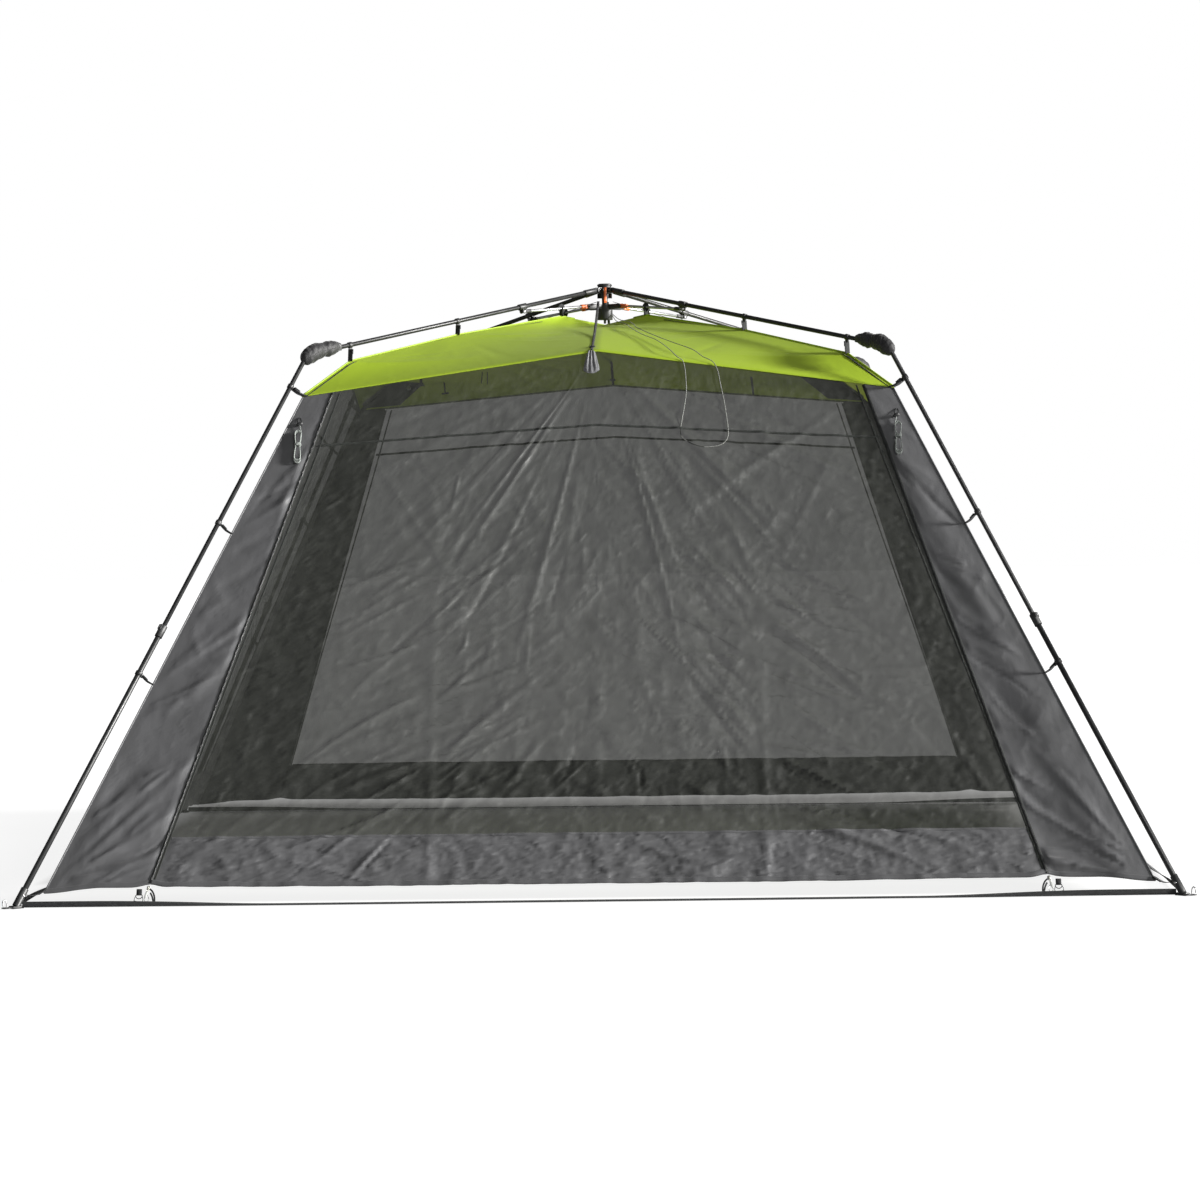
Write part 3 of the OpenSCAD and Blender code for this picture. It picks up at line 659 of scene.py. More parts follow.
def roof_surface(bearing):
    """Points on one roof panel: t across it, v from apex 0 to eave 1, and metres of hem past 1."""
    peak, seed = PEAK_Z[bearing], 500 + bearing
    peak_r = wall_out(peak)

    def at(t, v):
        s, hem, a = np.minimum(v, 1.0), np.maximum(v - 1.0, 0.0), np.abs(t)
        hip_r = s * EAVE
        ridge_r, ridge_z = s * peak_r, APEX_Z + s * (peak - APEX_Z)
        w = a * ridge_r / np.maximum(hip_r * (1 - a) + a * ridge_r, 1e-9)
        held_z = hip_height(hip_r * ROOT_2)
        free_z = APEX_Z + ROOF_RISE * hip_r - ROOF_FALL * hip_r * hip_r
        hip_z = free_z + (held_z - free_z) * np.clip(w, 0, 1) ** 2.5
        x, y = w * hip_r * np.sign(t), -((1 - w) * ridge_r + w * hip_r)
        z = (1 - w) * ridge_z + w * hip_z - 0.008 * np.sin(math.pi * w) * np.sin(math.pi * s)
        z = z + RIDGE_LIFT * np.sin(math.pi * s) * np.clip(1 - w, 0, 1) ** 1.5
        z = z + roof_relief(x, y, s, t, seed)
        proud = 0.003 * eased(hem / 0.004)
        down = hem * math.cos(WALL_TILT) + proud * math.sin(WALL_TILT)
        x = x * (1 + down / np.maximum(np.abs(y), 1e-6))
        return turned(np.stack([x, y - down, z - hem * math.sin(WALL_TILT) + proud * math.cos(WALL_TILT)],
                               axis=-1), bearing)

    return at


def wall_surface(bearing, low, high, proud=0.0):
    """Points on a wall: t across it, and v from height low(t) to high(t)."""

    def at(t, v):
        z = low(t) + (high(t) - low(t)) * v
        x = t * wall_out(z)
        return on_wall(bearing, x, z, relief(bearing, x, z) + proud)

    return at


# ---------- gores: the fabric in strips that share their edges ----------

CLOTH_STEP = 0.014
COIL_W = 0.002


def gore_grid(surface, low_t, high_t, v, columns):
    """Points and normals on a strip between the t values low_t and high_t, which may change with v."""
    u = np.linspace(0, 1, columns)
    t = low_t[:, None] + (high_t - low_t)[:, None] * u[None, :]
    vv = np.broadcast_to(v[:, None], t.shape)
    points = surface(t, vv)
    step = 2e-4
    across = surface(t + step, vv) - surface(t - step, vv)
    along = surface(t, vv + step) - surface(t, vv - step)
    normals = np.cross(across, along)
    normals /= np.maximum(np.linalg.norm(normals, axis=-1), 1e-12)[..., None]
    return t, points, normals if normals[..., 2].mean() > 0 else -normals


def gore(name, surface, low_t, high_t, v, material):
    """One strip of cloth."""
    low_t, high_t = np.broadcast_to(low_t, v.shape), np.broadcast_to(high_t, v.shape)
    ends = surface(np.stack([low_t, high_t]), np.stack([v, v]))
    columns = max(3, round(float(np.linalg.norm(ends[1] - ends[0], axis=-1).max()) / CLOTH_STEP))
    t, points, normals = gore_grid(surface, low_t, high_t, v, columns)
    faces = grid_faces(len(v), columns)
    facing = np.cross(points[1:, 1:] - points[:-1, :-1], points[1:, :-1] - points[:-1, 1:])
    if (facing * normals[:-1, :-1]).sum() < 0:
        faces = [face[::-1] for face in faces]
    tall = np.linalg.norm(np.diff(points, axis=0), axis=-1)
    run = np.concatenate([np.zeros((1, columns)), np.cumsum(tall, axis=0)])
    bearing_uv = t * np.linalg.norm(points[..., :2], axis=-1)
    piece = add_piece(name, points.reshape(-1, 3), faces, material,
                      np.stack([bearing_uv, run], axis=-1).reshape(-1, 2), normals.reshape(-1, 3))
    with_frame(piece)
    return piece


def steps(height, spacing=CLOTH_STEP):
    return np.linspace(0, 1, max(3, round(height / spacing)))


def strip_mesh(name, lines, material):
    """A thin raised tape between two or more lines of points, each with the same count."""
    lines = np.asarray(lines, float)
    rows, columns = lines.shape[:2]
    uvs = [(length, width) for width in distances(lines[:, 0]) for length in distances(lines[0])]
    return add_piece(name, lines.reshape(-1, 3), grid_faces(rows, columns), material, uvs)


def wall_tape(name, bearing, x, z, width, material, along="x", proud=0.0016):
    """Tape sewn on a wall along the points (x, z), standing a little proud of the cloth at its middle."""
    x, z = np.asarray(x, float), np.asarray(z, float)
    base = relief(bearing, x, z)
    lines = []
    for share, lift in ((-0.5, 0.0003), (-0.44, proud), (-0.15, proud * 1.15), (0.15, proud * 1.15),
                        (0.44, proud), (0.5, 0.0003)):
        across = share * np.asarray(width, float)
        if along == "x":
            lines.append(on_wall(bearing, x, z + across * math.sin(WALL_TILT), base + lift))
        else:
            lines.insert(0, on_wall(bearing, x + across, z, base + lift))
    return strip_mesh(name, lines, material)


# Where a leg holds the corner seam: the distances from its knee, and the tube's radius there
CLIP_ON_LEG = (0.150, 0.735, 1.361)
LEG_TUBE_R = (0.0080, 0.0080, 0.0096)


def leg_point(distance):
    """Distance from the hub's axis and height of a point along the leg from its knee."""
    return KNEE_R + distance * math.cos(LEG_TILT), KNEE_Z - distance * math.sin(LEG_TILT)


def seam_point(distance):
    """The point of the corner seam that is square to the leg at a distance from its knee."""
    r, z = leg_point(distance)
    fall = 1 / (SLOPE * ROOT_2)
    seam_r = (r - fall * (z - EAVE_Z) + fall * fall * EAVE_R) / (1 + fall * fall)
    return seam_r, EAVE_Z - fall * (seam_r - EAVE_R)


CLIP_HEIGHTS = [min(seam_point(d)[1], 1.70) for d in CLIP_ON_LEG]


def around(bearing, r, z, side=0.0):
    """Row-frame point at a distance from the hub's axis on a bearing, and a step to its left."""
    b = math.radians(bearing)
    return (r * math.cos(b) - side * math.sin(b), r * math.sin(b) + side * math.cos(b), z)


# ---------- cords, which come first ----------

CORD_ROUTE = [
    (0.027, -0.016, 2.062), (0.038, -0.052, 2.043), (0.050, -0.100, 2.030), (0.074, -0.230, 2.018),
    (0.097, -0.400, 2.001), (0.108, -0.490, 1.988), (0.150, -0.640, 1.957), (0.212, -0.800, 1.924),
    (0.256, -0.950, 1.886), (0.285, -0.998, 1.856), (0.308, -1.011, 1.836), (0.316, -1.037, 1.782),
    (0.317, -1.066, 1.722), (0.309, -1.092, 1.668), (0.300, -1.116, 1.620), (0.295, -1.132, 1.586),
    (0.301, -1.143, 1.564), (0.322, -1.151, 1.547), (0.352, -1.157, 1.534), (0.386, -1.161, 1.527),
    (0.420, -1.159, 1.530), (0.446, -1.155, 1.539), (0.462, -1.146, 1.558), (0.465, -1.131, 1.588),
    (0.459, -1.105, 1.642), (0.451, -1.079, 1.696), (0.440, -1.052, 1.752), (0.429, -1.026, 1.806),
    (0.412, -1.011, 1.836), (0.378, -0.980, 1.855), (0.340, -0.945, 1.883), (0.262, -0.815, 1.918),
    (0.195, -0.670, 1.951), (0.134, -0.500, 1.986), (0.118, -0.410, 2.004), (0.094, -0.235, 2.024),
    (0.066, -0.095, 2.035), (0.048, -0.045, 2.046), (0.030, -0.009, 2.063),
]
CORD_D, CORD_LENGTH = 0.003, 3.01
HANK_LEN, HANK_W, HANK_T = 0.130, 0.024, 0.012


def tube(name, path, radius, material, sides=10):
    """A round tube along a path, its rings carried on without twist."""
    path = np.asarray(path, float)
    along = np.gradient(path, axis=0)
    along /= np.linalg.norm(along, axis=1)[:, None]
    side = np.cross(along[0], (0.0, 0.6, 0.8))
    side /= np.linalg.norm(side)
    sides_along = []
    for direction in along:
        side = side - direction * np.dot(side, direction)
        side /= np.linalg.norm(side)
        sides_along.append(side)
    side = np.array(sides_along)
    lift = np.cross(along, side)
    turns = np.linspace(0, 2 * math.pi, sides, endpoint=False)
    radii = np.broadcast_to(np.asarray(radius, float), (len(path),))[:, None, None]
    rings = path[:, None] + radii * (np.cos(turns)[None, :, None] * side[:, None]
                                     + np.sin(turns)[None, :, None] * lift[:, None])
    uvs = [(run, j * math.pi * CORD_D / sides) for run in distances(path) for j in range(sides)]
    return add_piece(name, rings.reshape(-1, 3), capped_faces(len(path), sides), material, uvs)


def make_pull_cord():
    """The loop that pulls the runner down: over the roof, down past the front eave and back."""
    path = smooth_path(CORD_ROUTE, 400)
    cord = tube("pull_cord_loop", path, CORD_D / 2, GREY_CORD)
    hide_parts("pull_cord")
    with_frame(cord)


def make_guy_line(side, sign):
    """A guy line wound into a hank that hangs by its toggle from a tab on a front corner panel."""
    place = wall_frame(0, sign * (wall_out(HANK_Z) - HANK_INSET), HANK_Z)

    def at(down, out, across):
        return place @ Vector((across * sign, -down, HANK_PROUD + out))

    inner_w, turns, per_turn = HANK_W - CORD_D, 7, 26
    radius = inner_w / 2
    rng = np.random.default_rng(725 if sign < 0 else 815)
    points = [(-0.030, 0.004, -0.004), (-0.020, 0.004, -0.005), (-0.010, 0.003, -0.006)]
    for i in range(turns * per_turn):
        share = i / per_turn
        turn = int(share)
        out = HANK_T / 2 - 0.0045 + 0.009 * share / turns
        low = CORD_D / 2 + radius + 0.003 * ((turn * 5) % 3)
        high = HANK_LEN - CORD_D / 2 - radius - 0.004 * ((turn * 3) % 4)
        straight, bend = high - low, math.pi * radius
        run = (share - turn) * (2 * straight + 2 * bend)
        if run < straight:
            down, across = low + run, -radius
        elif run < straight + bend:
            a = (run - straight) / radius
            down, across = high + radius * math.sin(a), -radius * math.cos(a)
        elif run < 2 * straight + bend:
            down, across = high - (run - straight - bend), radius
        else:
            a = (run - 2 * straight - bend) / radius
            down, across = low - radius * math.sin(a), radius * math.cos(a)
        pinch = 1 - 0.32 * math.exp(-(((down - 0.06) / 0.022) ** 2))
        points.append((down, out + rng.uniform(-0.0003, 0.0003), across * pinch))
    world = [tuple(at(*p)) for p in points]
    path = smooth_path(world, 1400)
    cord = tube(f"guy_line_hank_{side}", path, CORD_D / 2, HANK_CORD, sides=8)
    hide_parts(f"guy_line_{side}")
    with_frame(cord)

    barrel = [(0.003, -0.011), (0.0058, -0.009), (0.0072, -0.004), (0.0072, 0.004), (0.0058, 0.009),
              (0.003, 0.011)]
    toggle = lathe(f"guy_line_toggle_{side}", barrel, FITTING, at(-0.026, 0.004, -0.004),
                   place.to_3x3() @ Vector((1, 0.3, 0)))
    with_frame(toggle)
    band = []
    for k in range(3):
        ring = [at(0.054 + 0.0035 * k + 0.001 * math.sin(3 * a), HANK_T / 2 + 0.0076 * math.cos(a),
                   0.0105 * math.sin(a)) for a in np.linspace(0, 2 * math.pi, 25)]
        band.append(tube(f"band_{k}", ring, 0.0014, HANK_CORD, sides=8))
    tie = joined(f"guy_line_tie_{side}", band)
    with_frame(tie)
    loop = [at(*p) for p in ((-0.056, -0.005, 0.000), (-0.046, -0.001, 0.003), (-0.034, 0.003, 0.003),
                             (-0.020, 0.004, -0.004), (-0.034, 0.003, -0.010), (-0.046, -0.001, -0.007),
                             (-0.056, -0.005, -0.004))]
    tab = swept(f"guy_line_tab_{side}", smooth_path(loop, 40), strap_section(0.005, 0.0018), BLACK_WEB,
                up=tuple(place.to_3x3() @ Vector((0, 0, 1))))
    with_frame(tab)


make_pull_cord()
make_guy_line("left", -1)
make_guy_line("right", 1)

# ---------- roof, walls, skirts and corner panels ----------


def make_roof():
    v = np.concatenate([np.linspace(0.006, 0.97, 84), np.linspace(0.978, 1.0, 4), [1.003, 1.006, 1.010]])
    for wall, bearing in WALLS.items():
        surface = roof_surface(bearing)
        for i, (low, high) in enumerate(zip(GORE_EDGES, GORE_EDGES[1:])):
            piece = gore(f"roof_{wall}_{i + 1}", surface, low, high, v, GREEN)
            if wall == "front" and i == 0:
                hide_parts("roof")


def zip_edge(bearing, v, low, high, side):
    """Where a zip's inner (-1) or outer (1) half runs in t, on a surface from height low(t) to high(t)."""
    t = np.full_like(v, 0.85)
    for _ in range(12):
        z = low(t) + (high(t) - low(t)) * v
        t = (zip_x(z, PEAK_Z[bearing]) + side * COIL_W / 2) / wall_out(z)
    return t


def skirt_top(t):
    return SKIRT_TOP + 0 * t


def make_walls():
    for wall, bearing in WALLS.items():

        def eave(t, peak=PEAK_Z[bearing]):
            return eave_height(t, peak) - 0.001

        layers = [("screen", skirt_top, eave, steps(1.85), SCREEN, "screen_grey"),
                  ("skirt", hem_height, skirt_top, steps(0.19, 0.008), GREY, "cloth_grey")]
        for i, (start, end) in enumerate(zip(GORE_EDGES, GORE_EDGES[1:])):
            for kind, low, high, v, material, slot in layers:
                from_t = -zip_edge(bearing, v, low, high, -1) if i == 0 else start
                to_t = zip_edge(bearing, v, low, high, -1) if i == 7 else end
                surface = wall_surface(bearing, low, high)
                piece = gore(f"{kind}_{wall}_{i + 1}", surface, from_t, to_t, v, material)
                if kind == "screen" and i == 3:
                    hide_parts(f"wall_{wall}")
            if i in (0, 7):
                v = steps(2.0)
                edge = zip_edge(bearing, v, hem_height, eave, 1)
                from_t, to_t, side = (-1, -edge, "left") if i == 0 else (edge, 1, "right")
                surface = wall_surface(bearing, hem_height, eave)
                corner = gore(f"corner_panel_{wall}_{side}", surface, from_t, to_t, v, GREY)
                if wall in ("front", "back") and i == 0:
                    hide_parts(f"corner_panels_{wall}")


make_roof()
make_walls()

# ---------- hems, seams, zips and webbing sewn on the fabric ----------


def seam_height(x):
    """The seam across the netting, highest at the wall's middle."""
    return SEAM_MIDDLE_Z + (SEAM_SIDE_Z - SEAM_MIDDLE_Z) * np.abs(x) / 1.1


def seam_end(bearing):
    """Where the seam across the netting meets the zips, in t."""
    x, inset = 1.0, 0.012
    for _ in range(12):
        x = float(zip_x(seam_height(x), PEAK_Z[bearing])) - inset
    return x / wall_out(float(seam_height(x)))


def ground_strap(name, bearing, low, high):
    """Webbing along the ground between two feet: on its edge beside them, and lying flat between."""
    t = np.linspace(low, high, 24)
    x = t * FOOT_HALF
    share = np.clip(np.abs(x) / FOOT_HALF, 0, 1)
    tilt = np.radians(12 + 74 * eased((share - 0.55) / 0.40))
    wave = 0.004 * value_noise(x * 3.1, 0 * x, 40 + bearing)
    across = np.array([-0.010, -0.0095, 0.0, 0.0095, 0.010])
    rise = np.array([0.0, 0.0008, 0.0010, 0.0008, 0.0])
    lines = []
    for a, r in [*zip(across, rise), *zip(across[::-1], -rise[::-1])]:
        y = -FOOT_HALF - 0.004 + wave + a * np.cos(tilt) - r * np.sin(tilt)
        z = 0.0025 + 0.010 * np.sin(tilt) + a * np.sin(tilt) + r * np.cos(tilt)
        lines.append(turned(np.stack([x, y, z], axis=-1), bearing))
    return strip_mesh(name, lines, BLACK_WEB)


def make_trims():
    """The hems, the seams over the skirts and across the netting, and the straps along the ground."""
    for wall, bearing in WALLS.items():
        limit = seam_end(bearing)
        for i, (start, end) in enumerate(zip(GORE_EDGES, GORE_EDGES[1:])):
            t = np.linspace(start, end, 40)
            low = hem_height(t) + 0.009
            parts = [wall_tape("hem", bearing, t * wall_out(low), low, 0.018, GREY)]
            inside = np.clip(t, -ZIP_BOTTOM / HEM + 0.004, ZIP_BOTTOM / HEM - 0.004)
            if abs(inside[-1] - inside[0]) > 0.01:
                high = np.full_like(t, SKIRT_TOP)
                parts.append(wall_tape("skirt_seam", bearing, inside * wall_out(high), high, 0.009, GREY,
                                       proud=0.001))
            with_frame(joined(f"hem_{wall}_{i + 1}", parts))
            parts = [ground_strap("strap", bearing, max(start, -0.990), min(end, 0.990))]
            ts = np.clip(t, -limit, limit)
            if abs(ts[-1] - ts[0]) > 0.01:
                x = ts * 1.1
                for _ in range(8):
                    x = ts * wall_out(seam_height(x))
                parts.append(wall_tape("seam", bearing, x, seam_height(x), 0.009, SEAM_TAPE, proud=0.0012))
            trim = with_frame(joined(f"webbing_{wall}_{i + 1}", parts))
            if wall == "front" and i == 3:
                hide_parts("ground_straps")


def make_zips():
    """The eight zips: two tapes with the coil between, and the tape over the netting's raw edge."""
    for wall, bearing in WALLS.items():
        peak = PEAK_Z[bearing]
        top = float(eave_height(ZIP_TOP / EAVE, peak)) - 0.012
        z = np.linspace(float(hem_height(np.array(ZIP_BOTTOM / HEM))) + 0.004, top, 150)
        for side, label in ((-1, "left"), (1, "right")):
            line = side * zip_x(z, peak)
            parts = [wall_tape("tape", bearing, line, z, 0.013, SEAM_TAPE, along="z", proud=0.0018)]
            for k in (-0.0012, 0.0012):
                coil = on_wall(bearing, line + k, z, 0.0026 + 0.0004 * np.sin(z * 900 + 1000 * k))
                parts.append(tube("coil", coil, 0.0015, ZIP_COIL, sides=6))
            inset = 0.010 + 0.016 * eased((z - 0.5) / 1.1)
            parts.append(wall_tape("edge", bearing, line - side * inset, z, 0.006, SEAM_TAPE, along="z",
                                   proud=0.0014))
            with_frame(joined(f"zip_{wall}_{label}", parts))


def make_corner_seams():
    """The seams where the corner panels meet and where the roof's panels meet, with webbing under these."""
    for corner, bearing in CORNERS.items():
        z = np.linspace(HEM_Z + 0.002, EAVE_Z, 60)
        line = np.array([around(bearing, wall_out(h) * ROOT_2, h) for h in z])
        with_frame(tube(f"corner_seam_{corner}", line, 0.0028, GREY, sides=8))
        reach = np.linspace(0.16, EAVE_R + 0.002, 60)
        height = hip_height(reach)
        ridge = np.array([around(bearing, r, h + 0.0012) for r, h in zip(reach, height)])
        with_frame(tube(f"hip_seam_{corner}", ridge, 0.0026, GREEN, sides=8))
        under = np.array([around(bearing, r, h - 0.006) for r, h in zip(reach[8:], height[8:])])
        strap = swept(f"hip_webbing_{corner}", under, strap_section(0.032, 0.0016), BLACK_WEB)
        with_frame(strap)


make_trims()
make_zips()
make_corner_seams()

# ---------- webbing, clips and covers between the frame and the fabric ----------


def pivoted(bearing, r, z, tilt):
    """Frame of reference with +X out and down from a pivot beside the hub's axis."""
    return (Matrix.Rotation(math.radians(bearing), 4, "Z") @ Matrix.Translation((r, 0, z))
            @ Matrix.Rotation(tilt, 4, "Y"))


def on_arm(bearing):
    return pivoted(bearing, PIVOT_R, PIVOT_Z, ARM_TILT)


def on_leg(bearing):
    return pivoted(bearing, KNEE_R, KNEE_Z, LEG_TILT)


def tangent(bearing):
    b = math.radians(bearing)
    return (-math.sin(b), math.cos(b), 0.0)


def outward(bearing):
    b = math.radians(bearing)
    return (math.cos(b), math.sin(b), 0.0)


def strap_between(name, start, end, width, bearing, sag=0.004, thickness=0.0022):
    """Short webbing with its width across the corner's bearing, doubled back on itself at its start."""
    start, end = Vector(start), Vector(end)
    middle = (start + end) / 2 + Vector((0, 0, -sag))
    path = smooth_path([start, middle, end], 16)
    across = Vector(tangent(bearing))
    along = (end - start).normalized()
    parts = [swept("strap", path, strap_section(width, thickness), BLACK_WEB, up=tuple(across.cross(along)))]
    lift = across.cross(along) * thickness
    parts.append(swept("fold", [p + np.array(lift) for p in path[:7]], strap_section(width * 0.96, thickness),
                       BLACK_WEB, up=tuple(across.cross(along))))
    return with_frame(joined(name, parts))


def make_straps():
    """The webbing that holds the roof's hips to the arms and struts, and the corner seams to the legs."""
    for corner, bearing in CORNERS.items():
        arm, leg = on_arm(bearing), on_leg(bearing)
        for i, x in enumerate(ARM_CLIPS):
            r, z = HIP[2 + i]
            strap_between(f"arm_strap_{corner}_{i + 1}", arm @ Vector((x, 0, -0.015)),
                          around(bearing, r, z - 0.001), 0.026, bearing, thickness=0.0030)
        for i, (x, radius) in enumerate(zip(CLIP_ON_LEG, LEG_TUBE_R)):
            r, z = seam_point(x) if i else (EAVE_R - 0.004, EAVE_Z - 0.004)
            strap_between(f"leg_strap_{corner}_{i + 1}", leg @ Vector((x, 0, -radius - 0.008)),
                          around(bearing, r, z), 0.028 if i == 0 else 0.018, bearing,
                          thickness=0.0050 if i == 0 else 0.0030)
        band = [(0.0083, -0.007), (0.0105, -0.0076), (0.0112, -0.005), (0.0112, 0.005), (0.0105, 0.0076),
                (0.0083, 0.007)]
        tab = [leg @ Vector((CLIP_ON_LEG[1], 0, z)) for z in (-0.0100, -0.0130, -0.0160, -0.0185)]
        clip = [lathe("ring", band, FITTING, leg @ Vector((CLIP_ON_LEG[1], 0, 0)),
                      leg.to_3x3() @ Vector((1, 0, 0))),
                swept("tab", tab, strap_section(0.014, 0.005), FITTING, up=outward(bearing))]
        with_frame(joined(f"leg_clip_{corner}", clip))

        strap_between(f"foot_strap_{corner}", around(bearing, HEM_R - 0.01, HEM_Z + 0.016),
                      leg @ Vector((LEG_LEN - 0.045, 0, -0.012)), 0.014, bearing, sag=0.010)

        strut_r, strut_z = 0.227, 2.080
        top, low = around(bearing, strut_r, strut_z + 0.006), around(bearing, HIP[1][0], HIP[1][1] + 0.001)
        drop = smooth_path([top, around(bearing, strut_r + 0.002, strut_z - 0.012), low], 12)
        parts = [swept("strap", drop, strap_section(0.022, 0.0060), BLACK_WEB, up=outward(bearing))]
        loop = [around(bearing, strut_r + 0.0072 * math.cos(a), strut_z + 0.0072 * math.sin(a))
                for a in np.linspace(0, 2 * math.pi, 21)]
        parts.append(swept("loop", loop, strap_section(0.022, 0.0022), BLACK_WEB, up=tangent(bearing)))
        with_frame(joined(f"inner_strap_{corner}", parts))
        ring = [around(bearing, strut_r + 0.001, strut_z - 0.022 + 0.005 * math.sin(a), 0.009 * math.cos(a))
                for a in np.linspace(0, 2 * math.pi, 25)]
        with_frame(tube(f"inner_ring_{corner}", ring, 0.0011, STEEL, sides=8))


def make_gable_straps():
    """Webbing from the hub to the middle of each eave, each with a sliding buckle near its lower end."""
    starts = {"front": (-0.024, -0.030, 2.112), "back": (0.010, 0.031, 2.112),
              "left": (-0.031, 0.006, 2.112), "right": (0.031, 0.006, 2.112)}
    for wall, bearing in WALLS.items():
        peak = PEAK_Z[bearing]
        start = Vector(starts[wall])
        end = Vector(on_wall(bearing, -0.020 if wall == "front" else 0.0, peak - 0.004, 0.004).tolist())
        points = [start.lerp(end, s) - Vector((0, 0, 0.014 * math.sin(math.pi * s)))
                  for s in np.linspace(0, 1, 7)]
        path = smooth_path(points, 70)
        parts = [swept("strap", path, strap_section(0.010, 0.0016), BLACK_WEB)]
        tail = [p + np.array((0.0, 0.0, -0.0026 - 0.006 * (1 - s)))
                for p, s in zip(path[52:67], np.linspace(0, 1, 15))]
        parts.append(swept("tail", tail, strap_section(0.010, 0.0014), BLACK_WEB))
        strap = with_frame(joined(f"gable_strap_{wall}", parts))
        if wall == "front":
            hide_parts("gable_straps")
        middle, ahead = path[64], path[65] - path[63]
        ahead /= np.linalg.norm(ahead)
        side = np.cross(ahead, (0, 0, 1.0))
        side /= np.linalg.norm(side)
        lift = np.cross(side, ahead)
        frame_parts = []
        for share in (-0.010, 0.0, 0.010):
            bar = [middle + ahead * share + side * w + lift * 0.001 for w in (-0.0085, -0.004, 0.004, 0.0085)]
            frame_parts.append(tube("bar", bar, 0.0022, FITTING, sides=8))
        for w in (-0.0085, 0.0085):
            bar = [middle + ahead * a + side * w + lift * 0.001 for a in (-0.011, -0.004, 0.004, 0.011)]
            frame_parts.append(tube("bar", bar, 0.0024, FITTING, sides=8))
        with_frame(joined(f"gable_buckle_{wall}", frame_parts))


def make_gable_patch():
    """A pleated patch of doubled cloth under the middle of the front eave."""
    middle, flat, area = -0.022, (0.062, 0.084), 0.0038
    u, v = np.meshgrid(np.linspace(-1, 1, 60), np.linspace(0, 1, 40))
    x = middle + u * (0.011 + 0.019 * (1 - v) ** 0.8)
    z = PEAK_Z[0] - 0.004 - 0.072 * (1 - v) - 0.012 * (1 - u * u) * (1 - v) ** 2
    pleat = 0.0042 * (0.5 + 0.5 * np.cos(u * 10.5 + 0.5 * np.sin(3 * v))) * (0.45 + 0.55 * v)
    edge = eased((1 - np.abs(u)) / 0.12) * eased((1 - v) / 0.05) * eased(v / 0.10)
    out = relief(0, x, z) + 0.0008 + (0.0022 + pleat + 0.0012 * crumple(x, z, 0.02, 900)) * edge
    piece = add_piece("gable_patch_front", on_wall(0, x, z, out).reshape(-1, 3), grid_faces(*u.shape), PATCH,
                      np.stack([x, z], axis=-1).reshape(-1, 2))
    with_frame(piece)


def make_knee_covers():
    """Crumpled cloth socks drawn over the knees."""
    rows, columns = 72, 64
    start, length = ARM_LEN - 0.152, 0.190
    for k, (corner, bearing) in enumerate(CORNERS.items()):
        arm = on_arm(bearing)
        share = np.linspace(0, 1, rows)[:, None]
        turn = np.linspace(0, 2 * math.pi, columns, endpoint=False)[None, :]
        x = start + length * share
        droop = 0.004 - 0.016 * eased((share - 0.55) / 0.45)
        profile = np.interp(share, [0, 0.03, 0.10, 0.22, 0.34, 0.43, 0.56, 0.72, 0.86, 0.95, 1.0],
                            [0.0095, 0.0120, 0.0175, 0.0245, 0.0262, 0.0222, 0.0275, 0.0300, 0.0275, 0.0185,
                             0.003])
        px, pt = share * length + 0 * turn, turn * 0.027 + 0 * share
        cx, cy = np.cos(turn) * 0.03 + px * 2.0, np.sin(turn) * 0.03 + px * 0.7
        folds = crumple(cx, cy + px, 0.030, 600 + 10 * k)
        folds = folds + 0.6 * crumple(cx + 3, cy * 1.3, 0.012, 605 + 10 * k)
        twist = np.sin(3 * turn + 34 * share + k) * 0.35
        fade = np.minimum(eased(share / 0.06), eased((1 - share) / 0.08))
        radius = profile * (1 + fade * (0.085 * folds + 0.07 * twist))
        y, z = 0.86 * radius * np.cos(turn), radius * np.sin(turn) * 1.04 + droop
        local = np.stack([x + 0 * turn, y, z], axis=-1).reshape(-1, 3)
        world = [arm @ Vector(p) for p in local]
        cover = add_piece(f"knee_cover_{corner}", world, capped_faces(rows, columns), COVER_CLOTH,
                          np.stack([px, pt], axis=-1).reshape(-1, 2))
        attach(cover, f"arm_{corner}")
        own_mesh(cover)


def lofted(name, stations, material, place):
    """A slab with rounded edges through stations of (y, half width, low, high) in a frame of reference."""
    turns = np.linspace(0, 2 * math.pi, 16, endpoint=False)
    vertices = []
    for y, half, low, high in stations:
        for a in turns:
            c, q = math.cos(a), math.sin(a)
            x = half * math.copysign(abs(c) ** 0.5, c)
            z = (low + high) / 2 + (high - low) / 2 * math.copysign(abs(q) ** 0.5, q)
            vertices.append(place @ Vector((x, y, z)))
    return add_piece(name, vertices, capped_faces(len(stations), len(turns)), material)


